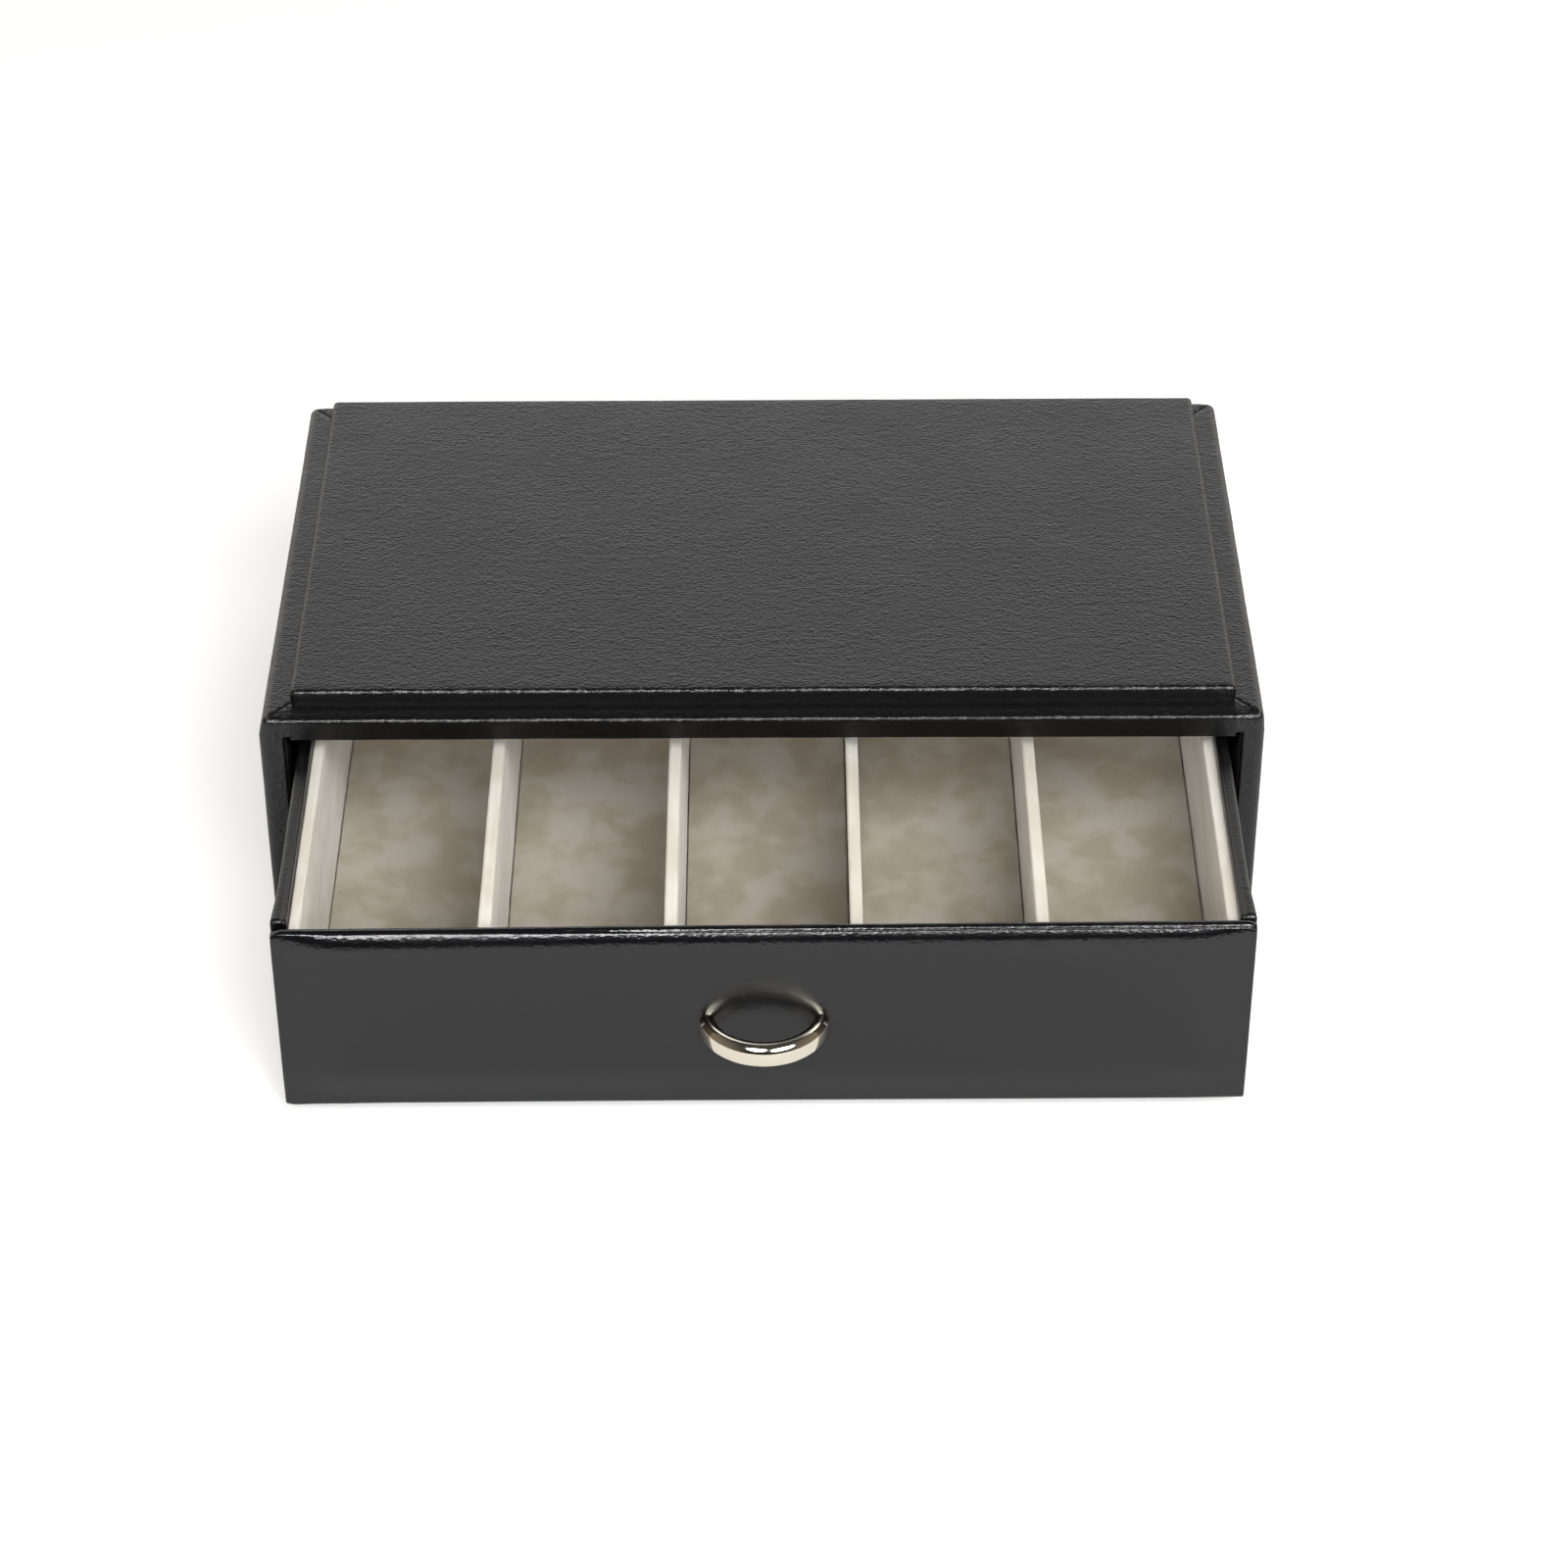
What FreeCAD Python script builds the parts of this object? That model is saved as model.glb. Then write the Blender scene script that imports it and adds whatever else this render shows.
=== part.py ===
"""Eyeglasses storage box: a leather-covered case with one drawer, parted into bays for folded glasses.

All sizes are millimetres. The origin is the centre of the case's underside, +X is to the right seen
from the front, -Y points out of the drawer's front and +Z is up. The drawer is modelled half open.
"""
import FreeCAD, Part
import math
import os
import re

import Sketcher

# Driving sizes: name, value, meaning
SIZES = (
    ("case_width", 310.0, "over both side covers"),
    ("case_depth", 182.0, "front edge to back"),
    ("case_height", 82.9, "underside to the top of the side covers"),
    ("leather", 0.8, "imitation leather with its backing"),
    ("lining", 0.6, "paper-backed cloth inside the case"),
    ("base_sheet", 0.6, "sheet glued under the case"),
    ("sheet_inset", 4.0, "bare rim round the sheet under the case"),
    ("lining_setback", 1.5, "lining kept back from the case's front edge"),
    ("side_core", 5.6, "board inside a case side"),
    ("top_core", 6.1, "board inside the case top"),
    ("back_core", 4.6, "board inside the case back"),
    ("bottom_core", 2.2, "board inside the case bottom"),
    ("side_round", 2.6, "outer radius of the side covers' edges"),
    ("top_round", 1.4, "outer radius of the top cover's long edges"),
    ("panel_core", 2.0, "board inside the raised panel"),
    ("panel_foam", 1.0, "foam under the raised panel's leather"),
    ("panel_side_margin", 8.1, "case side to the raised panel"),
    ("panel_front_margin", 9.0, "case front to the raised panel"),
    ("panel_back_margin", 2.0, "raised panel to the case back"),
    ("panel_round", 1.6, "outer radius of the raised panel's edges"),
    ("side_gap", 3.0, "drawer to lining, each side"),
    ("top_gap", 3.8, "drawer to ceiling lining"),
    ("back_gap", 2.0, "closed drawer to back lining"),
    ("glide_gap", 0.3, "running clearance under the drawer"),
    ("glide_sheet", 0.5, "glide cloth under the drawer"),
    ("glide_inset", 2.0, "bare rim round the glide cloth"),
    ("pull", 90.4, "how far the drawer stands open"),
    ("front_core", 3.0, "board inside the drawer front"),
    ("front_foam", 1.0, "foam under the drawer front's leather"),
    ("front_round", 2.2, "outer radius of the drawer front's edges"),
    ("wall_core", 3.0, "board inside a drawer wall"),
    ("wall_round", 1.7, "outer radius of a drawer wall's top edges"),
    ("floor_core", 3.0, "drawer bottom board"),
    ("side_pad", 5.0, "thickness of the left and right pads"),
    ("front_pad", 4.0, "thickness of the front pad"),
    ("back_pad", 1.8, "thickness of the back pad"),
    ("pad_drop", 3.5, "pads and dividers below the drawer's rim"),
    ("pad_round", 1.6, "radius of the pads' top edges"),
    ("divider", 4.0, "thickness of a divider"),
    ("divider_round", 1.7, "radius of a divider's top edges"),
    ("floor_pad", 11.5, "height of a floor pad at its middle"),
    ("floor_crown", 1.2, "rise of a floor pad from edge to middle"),
    ("floor_pad_round", 1.5, "radius of a floor pad's long edges"),
    ("soft_fit", 0.3, "gap round a floor pad"),
    ("ring_radius", 20.0, "outside of the handle's half ring"),
    ("ring_height", 6.4, "handle, top to bottom"),
    ("ring_width", 5.2, "handle's band at its middle"),
    ("ring_end_width", 4.4, "handle's band where it meets the drawer front"),
    ("ring_shoulder", 1.2, "bevel between the flat outer band and the top"),
    ("ring_foot_bevel", 0.4, "bevel of the band's lower outer edge"),
    ("ring_inner_round", 2.2, "radius of the band's inner edges"),
    ("handle_height", 33.4, "handle's middle above the drawer walls' foot"),
    ("screw_inset", 0.3, "screws inside the middle of the handle's ends"),
    ("screw_diameter", 2.5, "shank of a handle screw"),
    ("screw_grip", 4.6, "shank length inside the handle"),
    ("screw_slack", 0.3, "bore's end beyond the screw's tip"),
    ("thread_gap", 0.05, "radial gap round the shank in the handle"),
    ("bore_gap", 0.2, "radial gap round the shank in the drawer front"),
    ("head_diameter", 5.0, "screw head"),
    ("head_height", 1.6, "screw head"),
    ("washer_diameter", 7.0, "washer under the head"),
    ("washer_thick", 0.5, "washer under the head"),
    ("recess_gap", 0.4, "free space round the screw head in the front pad"),
)
BAYS = 5

# Sizes that follow from the driving ones
DERIVED = {
    "side_wrap": "leather + side_core",
    "top_wrap": "leather + top_core",
    "back_wrap": "leather + back_core",
    "bottom_wrap": "leather + bottom_core",
    "panel_wrap": "leather + panel_foam + panel_core",
    "side_edge": "min(side_round; 0.8 * side_wrap)",
    "top_edge": "min(top_round; 0.8 * top_wrap)",
    "panel_edge": "min(panel_round; 0.8 * panel_wrap)",
    "between_sides": "case_width - 2 * side_wrap",
    "cavity_width": "between_sides - 2 * lining",
    "cavity_floor": "base_sheet + bottom_wrap + lining",
    "cavity_ceiling": "case_height - top_wrap - lining",
    "lining_depth": "case_depth - back_wrap - lining_setback",
    "lining_y": "(lining_setback - back_wrap) / 2",
    "drawer_width": "cavity_width - 2 * side_gap",
    "drawer_depth": "case_depth - back_wrap - lining - back_gap",
    "drawer_foot": "cavity_floor + glide_gap + glide_sheet",
    "drawer_rim": "cavity_ceiling - top_gap",
    "drawer_height": "drawer_rim - drawer_foot",
    "front_y": "0 - case_depth / 2 - pull",
    "rear_y": "front_y + drawer_depth",
    "front_wrap": "leather + front_foam + front_core",
    "front_edge": "min(front_round; 0.8 * front_wrap)",
    "wall_wrap": "2 * leather + wall_core",
    "wall_edge": "min(wall_round; 0.45 * wall_wrap)",
    "tray_width": "drawer_width - 2 * wall_wrap",
    "tray_depth": "drawer_depth - front_wrap - wall_wrap",
    "tray_y": "front_y + front_wrap + tray_depth / 2",
    "tray_floor": "drawer_foot + floor_core",
    "pad_height": "drawer_rim - pad_drop - tray_floor",
    "side_pad_edge": "min(pad_round; 0.45 * side_pad)",
    "front_pad_edge": "min(pad_round; 0.45 * front_pad)",
    "back_pad_edge": "min(pad_round; 0.45 * back_pad)",
    "divider_edge": "min(divider_round; 0.45 * divider)",
    "insert_width": "tray_width - 2 * side_pad",
    "bay_depth": "tray_depth - front_pad - back_pad",
    "bay_y": "tray_y + (front_pad - back_pad) / 2",
    "bay_width": f"(insert_width - {BAYS - 1} * divider) / {BAYS}",
    "bay_pitch": "bay_width + divider",
    "ring_gap_half": "ring_radius - ring_end_width",
    "ring_gap_reach": "ring_radius - ring_width",
    "ring_inner_edge": "min(ring_inner_round; 0.45 * ring_height; 0.6 * ring_end_width)",
    "screw_x": "ring_radius - ring_end_width / 2 - screw_inset",
    "screw_z": "drawer_foot + handle_height",
}

doc = FreeCAD.newDocument("EyeglassesBox")
sheet = doc.addObject("Spreadsheet::Sheet", "Sizes")
for row, (alias, number, meaning) in enumerate(SIZES, start=1):
    sheet.set(f"A{row}", meaning)
    sheet.set(f"B{row}", str(number))
    sheet.setAlias(f"B{row}", alias)
doc.recompute()

ALIASES = {alias for alias, number, meaning in SIZES}


def cells(text):
    """An expression on the sheet's cells, from one that uses plain size names."""
    def swap(match):
        word = match.group(0)
        if word in DERIVED:
            return "(" + cells(DERIVED[word]) + ")"
        return "Sizes." + word if word in ALIASES else word
    return re.sub(r"[a-z_]+", swap, str(text))


def value(text):
    """The number that such an expression gives now."""
    return float(sheet.evalExpression(cells(text)))


def place(item, x, y, z):
    """Put an object's own origin at a point worked out from the sheet."""
    for axis, text in zip("xyz", (x, y, z)):
        item.setExpression(f".Placement.Base.{axis}", cells(text))


def plane(body, role):
    """One of the body's own origin planes."""
    for feature in body.Origin.OriginFeatures:
        if feature.Role == role:
            return feature
    raise ValueError(f"{body.Label} has no {role}")


def sketch_on(body, role, name):
    """An empty sketch on one of the body's origin planes."""
    sketch = body.newObject("Sketcher::SketchObject", name)
    sketch.AttachmentSupport = [(plane(body, role), "")]
    sketch.MapMode = "FlatFace"
    return sketch


def bind(sketch, kind, geometry, name, text):
    """A named dimension whose value is an expression on the sheet."""
    index = sketch.addConstraint(Sketcher.Constraint(kind, *geometry, value(text)))
    sketch.renameConstraint(index, name)
    sketch.setExpression(f"Constraints.{name}", cells(text))


def rectangle(sketch, across, up):
    """A rectangle centred on the sketch's origin."""
    half_x = value(across) / 2
    half_y = value(up) / 2
    corners = [FreeCAD.Vector(x, y, 0) for x, y in
               ((-half_x, -half_y), (half_x, -half_y), (half_x, half_y), (-half_x, half_y))]
    for start in range(4):
        sketch.addGeometry(Part.LineSegment(corners[start], corners[(start + 1) % 4]), False)
    for start in range(4):
        sketch.addConstraint(Sketcher.Constraint("Coincident", start, 2, (start + 1) % 4, 1))
        sketch.addConstraint(Sketcher.Constraint("Vertical" if start % 2 else "Horizontal", start))
    sketch.addConstraint(Sketcher.Constraint("Symmetric", 0, 1, 1, 2, -1, 1))
    bind(sketch, "DistanceX", (0, 1, 0, 2), "across", across)
    bind(sketch, "DistanceY", (1, 1, 1, 2), "up", up)


def circle_pair(sketch, x, y, radius):
    """Two equal circles, left and right of the sketch's upright axis."""
    for index, side in enumerate((-1, 1)):
        centre = FreeCAD.Vector(side * value(x), value(y), 0)
        sketch.addGeometry(Part.Circle(centre, FreeCAD.Vector(0, 0, 1), value(radius)), False)
        ends = (-1, 1, index, 3) if side > 0 else (index, 3, -1, 1)
        bind(sketch, "DistanceX", ends, f"x{index}", x)
        bind(sketch, "Radius", (index,), f"radius{index}", radius)
        if value(y):
            bind(sketch, "DistanceY", (-1, 1, index, 3), f"y{index}", y)
        else:
            sketch.addConstraint(Sketcher.Constraint("PointOnObject", index, 3, -1))


def block(label, size, at):
    """A board: a rectangle padded upwards. `at` is the middle of its underside."""
    body = doc.addObject("PartDesign::Body", label)
    sketch = sketch_on(body, "XY_Plane", f"{label}_outline")
    rectangle(sketch, size[0], size[1])
    pad = body.newObject("PartDesign::Pad", f"{label}_pad")
    pad.Profile = sketch
    pad.setExpression("Length", cells(size[2]))
    place(body, *at)
    doc.recompute()
    return body


def edges(shape, wanted):
    """Names of the edges that `wanted` accepts, given the edge and the shape's bounds."""
    bounds = shape.BoundBox
    return [f"Edge{index}" for index, edge in enumerate(shape.Edges, start=1) if wanted(edge, bounds)]


def off_face(axis, side):
    """Picks every edge that doesn't lie in the outermost face on that side."""
    def wanted(edge, bounds):
        limit = getattr(bounds, axis + ("Max" if side > 0 else "Min"))
        return any(abs(getattr(vertex, axis) - limit) > 0.01 for vertex in edge.Vertexes)
    return wanted


def long_top(axis):
    """Picks the straight edges along an axis at the very top."""
    def wanted(edge, bounds):
        box = edge.BoundBox
        long = getattr(box, axis + "Length") > 0.9 * getattr(bounds, axis + "Length")
        return long and box.ZMin > bounds.ZMax - 0.01
    return wanted


def long_upper(axis):
    """Picks the straight edges along an axis in the upper half."""
    def wanted(edge, bounds):
        box = edge.BoundBox
        long = getattr(box, axis + "Length") > 0.9 * getattr(bounds, axis + "Length")
        return long and box.ZMin > (bounds.ZMin + bounds.ZMax) / 2
    return wanted


def soften(body, kind, wanted, size_name, size):
    """Round or bevel the edges that `wanted` picks on the body as it stands."""
    feature = body.newObject(f"PartDesign::{kind}", f"{body.Label}_{kind.lower()}")
    base = feature.BaseFeature
    feature.Base = (base, edges(base.Shape, wanted))
    feature.setExpression(size_name, cells(size))
    doc.recompute()


def round_edges(body, wanted, radius):
    """Round the edges that `wanted` picks."""
    soften(body, "Fillet", wanted, "Radius", radius)


def bevel_edges(body, wanted, size):
    """Bevel the edges that `wanted` picks."""
    soften(body, "Chamfer", wanted, "Size", size)


def hollow(body, axis, side):
    """Leave a skin of leather, open on the one flat side where the board shows."""
    solid = body.Tip
    bounds = solid.Shape.BoundBox
    limit = getattr(bounds, axis + ("Max" if side > 0 else "Min"))
    names = [f"Face{index}" for index, face in enumerate(solid.Shape.Faces, start=1)
             if abs(getattr(face.BoundBox, axis + "Min") - limit) < 0.01
             and abs(getattr(face.BoundBox, axis + "Max") - limit) < 0.01]
    before = solid.Shape.Volume
    skin = body.newObject("PartDesign::Thickness", f"{body.Label}_skin")
    skin.Base = (solid, names)
    skin.Reversed = True
    skin.setExpression("Value", cells("leather"))
    doc.recompute()
    if not skin.Shape.Volume < before / 2:
        raise ValueError(f"{body.Label} wasn't hollowed")


def bore(body, x, y, radius):
    """Two holes right through the body from front to back."""
    before = body.Shape.Volume
    sketch = sketch_on(body, "XZ_Plane", f"{body.Label}_holes")
    circle_pair(sketch, x, y, radius)
    pocket = body.newObject("PartDesign::Pocket", f"{body.Label}_bore")
    pocket.Profile = sketch
    pocket.Type = "ThroughAll"
    pocket.SideType = "Symmetric"
    doc.recompute()
    if not body.Shape.Volume < before:
        raise ValueError(f"{body.Label} wasn't bored")


def wrapped(name, size, at, open_axis, open_side, wanted=None, radius="0", foam=None):
    """A board, the foam on its face if it has any, and the leather glued round them.

    `size` and `at` are those of the covered board. The leather leaves one side of the board bare.
    The board is bevelled where the leather bends round it, so it stays inside the leather's curve.
    """
    cover = block(f"{name}_cover", size, at)
    if wanted:
        round_edges(cover, wanted, radius)
    hollow(cover, open_axis, open_side)
    index = "XYZ".index(open_axis)
    inner = [f"{text} - 2 * leather" for text in size]
    inner[index] = f"{size[index]} - leather - ({foam or 0})"
    centre = [at[0], at[1], f"{at[2]} + leather"]
    if index < 2:
        centre[index] = f"{at[index]} {'+' if open_side > 0 else '-'} (leather + ({foam or 0})) / 2"
    elif open_side < 0:
        centre[index] = at[index]
    board = block(f"{name}_board", inner, centre)
    bend = f"max({radius} - leather; 0.05)"
    if wanted:
        bevel_edges(board, wanted, bend)
    if not foam:
        return [board, cover]
    sheet_size = [f"{text} - 2 * (leather + {bend})" for text in size]
    sheet_size[index] = foam
    sheet_at = [at[0], at[1], f"{at[2]} + leather + {bend}"]
    if index < 2:
        sign = "-" if open_side > 0 else "+"
        sheet_at[index] = f"{at[index]} {sign} (({size[index]}) / 2 - leather - {foam} / 2)"
    else:
        sheet_at[index] = f"{at[index]} + {size[index]} - leather - {foam}"
    return [board, block(f"{name}_foam", sheet_size, sheet_at), cover]


def arched_bar(label, width, edge_height, crown, length, at):
    """A pad with an arched top, pushed front to back. `at` is the middle of its front foot."""
    body = doc.addObject("PartDesign::Body", label)
    sketch = sketch_on(body, "XZ_Plane", f"{label}_profile")
    half = value(width) / 2
    foot = value(edge_height)
    points = [FreeCAD.Vector(x, y, 0) for x, y in
              ((-half, 0), (half, 0), (half, foot), (0, foot + value(crown)), (-half, foot))]
    sketch.addGeometry(Part.LineSegment(points[0], points[1]), False)
    sketch.addGeometry(Part.LineSegment(points[1], points[2]), False)
    sketch.addGeometry(Part.Arc(points[2], points[3], points[4]), False)
    sketch.addGeometry(Part.LineSegment(points[4], points[0]), False)
    for first, end, second, start in ((0, 2, 1, 1), (1, 2, 2, 1), (2, 2, 3, 1), (3, 2, 0, 1)):
        sketch.addConstraint(Sketcher.Constraint("Coincident", first, end, second, start))
    sketch.addConstraint(Sketcher.Constraint("Horizontal", 0))
    sketch.addConstraint(Sketcher.Constraint("Vertical", 1))
    sketch.addConstraint(Sketcher.Constraint("Vertical", 3))
    sketch.addConstraint(Sketcher.Constraint("Symmetric", 0, 1, 0, 2, -1, 1))
    sketch.addConstraint(Sketcher.Constraint("Equal", 1, 3))
    bind(sketch, "DistanceX", (0, 1, 0, 2), "across", width)
    bind(sketch, "DistanceY", (1, 1, 1, 2), "edge", edge_height)
    bind(sketch, "Radius", (2,), "arch", f"(({width}) ^ 2 / 4 + ({crown}) ^ 2) / (2 * ({crown}))")
    pad = body.newObject("PartDesign::Pad", f"{label}_pad")
    pad.Profile = sketch
    pad.Reversed = True
    pad.setExpression("Length", cells(length))
    place(body, *at)
    doc.recompute()
    return body


def half_ring(label, at):
    """The handle: a crescent between two arcs, pushed up and down, widest at its middle.

    Outside it has a flat upright band under a sloping shoulder, and its inner edges are well rounded.
    """
    body = doc.addObject("PartDesign::Body", label)
    sketch = sketch_on(body, "XY_Plane", f"{label}_outline")
    outer = value("ring_radius")
    half = value("ring_gap_half")
    reach = value("ring_gap_reach")
    points = [FreeCAD.Vector(x, y, 0) for x, y in
              ((outer, 0), (0, -outer), (-outer, 0), (-half, 0), (0, -reach), (half, 0))]
    sketch.addGeometry(Part.Arc(points[0], points[1], points[2]), False)
    sketch.addGeometry(Part.LineSegment(points[2], points[3]), False)
    sketch.addGeometry(Part.Arc(points[3], points[4], points[5]), False)
    sketch.addGeometry(Part.LineSegment(points[5], points[0]), False)
    # An arc keeps its ends in anticlockwise order: the outer one starts at the left, as the inner one does
    for first, end, second, start in ((0, 1, 1, 1), (1, 2, 2, 1), (2, 2, 3, 1), (3, 2, 0, 2)):
        sketch.addConstraint(Sketcher.Constraint("Coincident", first, end, second, start))
    sketch.addConstraint(Sketcher.Constraint("Coincident", 0, 3, -1, 1))
    sketch.addConstraint(Sketcher.Constraint("PointOnObject", 2, 3, -2))
    for geometry, end in ((0, 1), (0, 2), (2, 1), (2, 2)):
        sketch.addConstraint(Sketcher.Constraint("PointOnObject", geometry, end, -1))
    bind(sketch, "Radius", (0,), "outer", "ring_radius")
    bind(sketch, "DistanceX", (2, 1, -1, 1), "gap", "ring_gap_half")
    bind(sketch, "Radius", (2,), "inner",
         "((ring_gap_half) ^ 2 + (ring_gap_reach) ^ 2) / (2 * (ring_gap_reach))")
    pad = body.newObject("PartDesign::Pad", f"{label}_pad")
    pad.Profile = sketch
    pad.SideType = "Symmetric"
    pad.setExpression("Length", cells("ring_height"))
    place(body, *at)
    doc.recompute()

    def arcs(inner, sides=(-1, 1)):
        """Picks the long curved edges of the ring's outside or inside, above it, below it or both."""
        limit = value("ring_radius") - 0.01

        def wanted(edge, bounds):
            box = edge.BoundBox
            flat = box.ZLength < 0.01 and box.YLength > value("ring_gap_reach") / 2
            return flat and (box.XMax < limit) == inner and math.copysign(1, box.ZMin) in sides
        return wanted

    round_edges(body, arcs(True), "ring_inner_edge")
    bevel_edges(body, arcs(False, (1,)), "ring_shoulder")
    bevel_edges(body, arcs(False, (-1,)), "ring_foot_bevel")
    return body


def turned(label, outline, at):
    """A round piece turned about the front-to-back axis, from pairs of radius and length along it."""
    body = doc.addObject("PartDesign::Body", label)
    sketch = sketch_on(body, "XY_Plane", f"{label}_half")
    points = [FreeCAD.Vector(value(radius), value(along), 0) for radius, along in outline]
    count = len(points)
    for start in range(count):
        sketch.addGeometry(Part.LineSegment(points[start], points[(start + 1) % count]), False)
    for start in range(count):
        sketch.addConstraint(Sketcher.Constraint("Coincident", start, 2, (start + 1) % count, 1))
    for index, (radius, along) in enumerate(outline):
        if points[index].x:
            bind(sketch, "DistanceX", (-1, 1, index, 1), f"radius{index}", radius)
        else:
            sketch.addConstraint(Sketcher.Constraint("PointOnObject", index, 1, -2))
        if points[index].y:
            bind(sketch, "DistanceY", (-1, 1, index, 1), f"along{index}", along)
        else:
            sketch.addConstraint(Sketcher.Constraint("PointOnObject", index, 1, -1))
    turn = body.newObject("PartDesign::Revolution", f"{label}_turn")
    turn.Profile = sketch
    turn.ReferenceAxis = (sketch, ["V_Axis"])
    turn.Angle = 360
    place(body, *at)
    doc.recompute()
    return body


def mirrored_pair(label, body):
    """The piece and its mirror image at the other end of the handle, as one node."""
    twin = doc.addObject("Part::Mirroring", f"{label}_twin")
    twin.Source = body
    twin.Normal = (1, 0, 0)
    pair = doc.addObject("Part::Compound", label)
    pair.Links = [body, twin]
    return pair


def case_sides():
    """Two full-depth boards, leather on all but their inner faces, which are lined."""
    pieces = []
    for name, sign, inner_side in (("left_side", "0 -", 1), ("right_side", "", -1)):
        pieces += wrapped(name, ("side_wrap", "case_depth", "case_height - base_sheet"),
                          (f"{sign} (case_width - side_wrap) / 2", "0", "base_sheet"),
                          "X", inner_side, off_face("X", inner_side), "side_edge")
        pieces.append(block(f"{name}_lining",
                            ("lining", "lining_depth", "cavity_ceiling - cavity_floor + 2 * lining"),
                            (f"{sign} (cavity_width + lining) / 2", "lining_y", "cavity_floor - lining")))
    return pieces


def case_top():
    """The board between the sides that closes the case, and the cloth on its underside."""
    pieces = wrapped("top", ("between_sides", "case_depth", "top_wrap"),
                     ("0", "0", "case_height - top_wrap"), "Z", -1, long_top("X"), "top_edge")
    pieces.append(block("ceiling_lining", ("cavity_width", "lining_depth", "lining"),
                        ("0", "lining_y", "cavity_ceiling")))
    return pieces


def case_back():
    """The board between the sides and under the top, lined towards the drawer."""
    pieces = wrapped("back", ("between_sides", "back_wrap", "case_height - top_wrap - base_sheet"),
                     ("0", "(case_depth - back_wrap) / 2", "base_sheet"), "Y", -1)
    pieces.append(block("back_lining", ("cavity_width", "lining", "cavity_ceiling - cavity_floor"),
                        ("0", "case_depth / 2 - back_wrap - lining / 2", "cavity_floor")))
    return pieces


def case_bottom():
    """The bottom board, the cloth that the drawer slides on and the sheet that meets the floor."""
    pieces = wrapped("bottom", ("between_sides", "case_depth - back_wrap", "bottom_wrap"),
                     ("0", "0 - back_wrap / 2", "base_sheet"), "Z", 1)
    pieces.append(block("floor_lining", ("cavity_width", "lining_depth", "lining"),
                        ("0", "lining_y", "cavity_floor - lining")))
    pieces.append(block("base_sheet", ("case_width - 2 * sheet_inset", "case_depth - 2 * sheet_inset",
                                       "base_sheet"), ("0", "0", "0")))
    return pieces


def raised_panel():
    """The padded panel that stands proud of the case top."""
    return wrapped("raised_panel",
                   ("case_width - 2 * panel_side_margin",
                    "case_depth - panel_front_margin - panel_back_margin", "panel_wrap"),
                   ("0", "(panel_front_margin - panel_back_margin) / 2", "case_height"),
                   "Z", -1, off_face("Z", -1), "panel_edge", "panel_foam")


def drawer_front():
    """The padded front, bored through for the handle's screws."""
    board, foam, cover = wrapped("drawer_front", ("drawer_width", "front_wrap", "drawer_height"),
                                 ("0", "front_y + front_wrap / 2", "drawer_foot"), "Y", 1,
                                 off_face("Y", 1), "front_edge", "front_foam")
    clear = "screw_diameter / 2 + bore_gap"
    bore(board, "screw_x", "handle_height - leather", clear)
    bore(foam, "screw_x", "handle_height - leather - max(front_edge - leather; 0.05)", clear)
    bore(cover, "screw_x", "handle_height", clear)
    return [board, foam, cover]


def drawer_walls():
    """The side and back walls, with leather over the rim and down both faces."""
    pieces = []
    for name, sign in (("drawer_left", "0 -"), ("drawer_right", "")):
        pieces += wrapped(name, ("wall_wrap", "drawer_depth - front_wrap", "drawer_height"),
                          (f"{sign} (drawer_width - wall_wrap) / 2",
                           "(front_y + front_wrap + rear_y) / 2", "drawer_foot"),
                          "Z", -1, long_top("Y"), "wall_edge")
    pieces += wrapped("drawer_back", ("tray_width", "wall_wrap", "drawer_height"),
                      ("0", "rear_y - wall_wrap / 2", "drawer_foot"), "Z", -1, long_top("X"), "wall_edge")
    return pieces


def drawer_bottom():
    """The drawer's bottom board and the glide cloth under it."""
    board = block("drawer_bottom_board", ("tray_width", "tray_depth", "floor_core"),
                  ("0", "tray_y", "drawer_foot"))
    cloth = block("drawer_base_sheet",
                  ("drawer_width - 2 * glide_inset", "drawer_depth - 2 * glide_inset", "glide_sheet"),
                  ("0", "(front_y + rear_y) / 2", "drawer_foot - glide_sheet"))
    return [board, cloth]


def side_pads():
    """The velour-covered pads along the left and right walls."""
    pieces = []
    for name, sign in (("left_pad", "0 -"), ("right_pad", "")):
        pad = block(name, ("side_pad", "tray_depth", "pad_height"),
                    (f"{sign} (tray_width - side_pad) / 2", "tray_y", "tray_floor"))
        round_edges(pad, long_top("Y"), "side_pad_edge")
        pieces.append(pad)
    return pieces


def end_pads():
    """The pads at the front and back walls. The front one has room for the screw heads behind it."""
    pieces = []
    for name, sign in (("front_pad", "-"), ("back_pad", "+")):
        pad = block(name, ("insert_width", name, "pad_height"),
                    ("0", f"tray_y {sign} (tray_depth - {name}) / 2", "tray_floor"))
        round_edges(pad, long_top("X"), f"{name}_edge")
        pieces.append(pad)
    front = pieces[0]
    before = front.Shape.Volume
    recess = sketch_on(front, "XZ_Plane", "front_pad_recess")
    recess.setExpression(".AttachmentOffset.Base.z", cells("front_pad / 2"))
    circle_pair(recess, "screw_x", "screw_z - tray_floor", "washer_diameter / 2 + recess_gap")
    pocket = front.newObject("PartDesign::Pocket", "front_pad_pocket")
    pocket.Profile = recess
    pocket.setExpression("Length", cells("washer_thick + head_height + recess_gap"))
    doc.recompute()
    if not front.Shape.Volume < before:
        raise ValueError("the front pad has no room for the screw heads")
    return pieces


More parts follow.
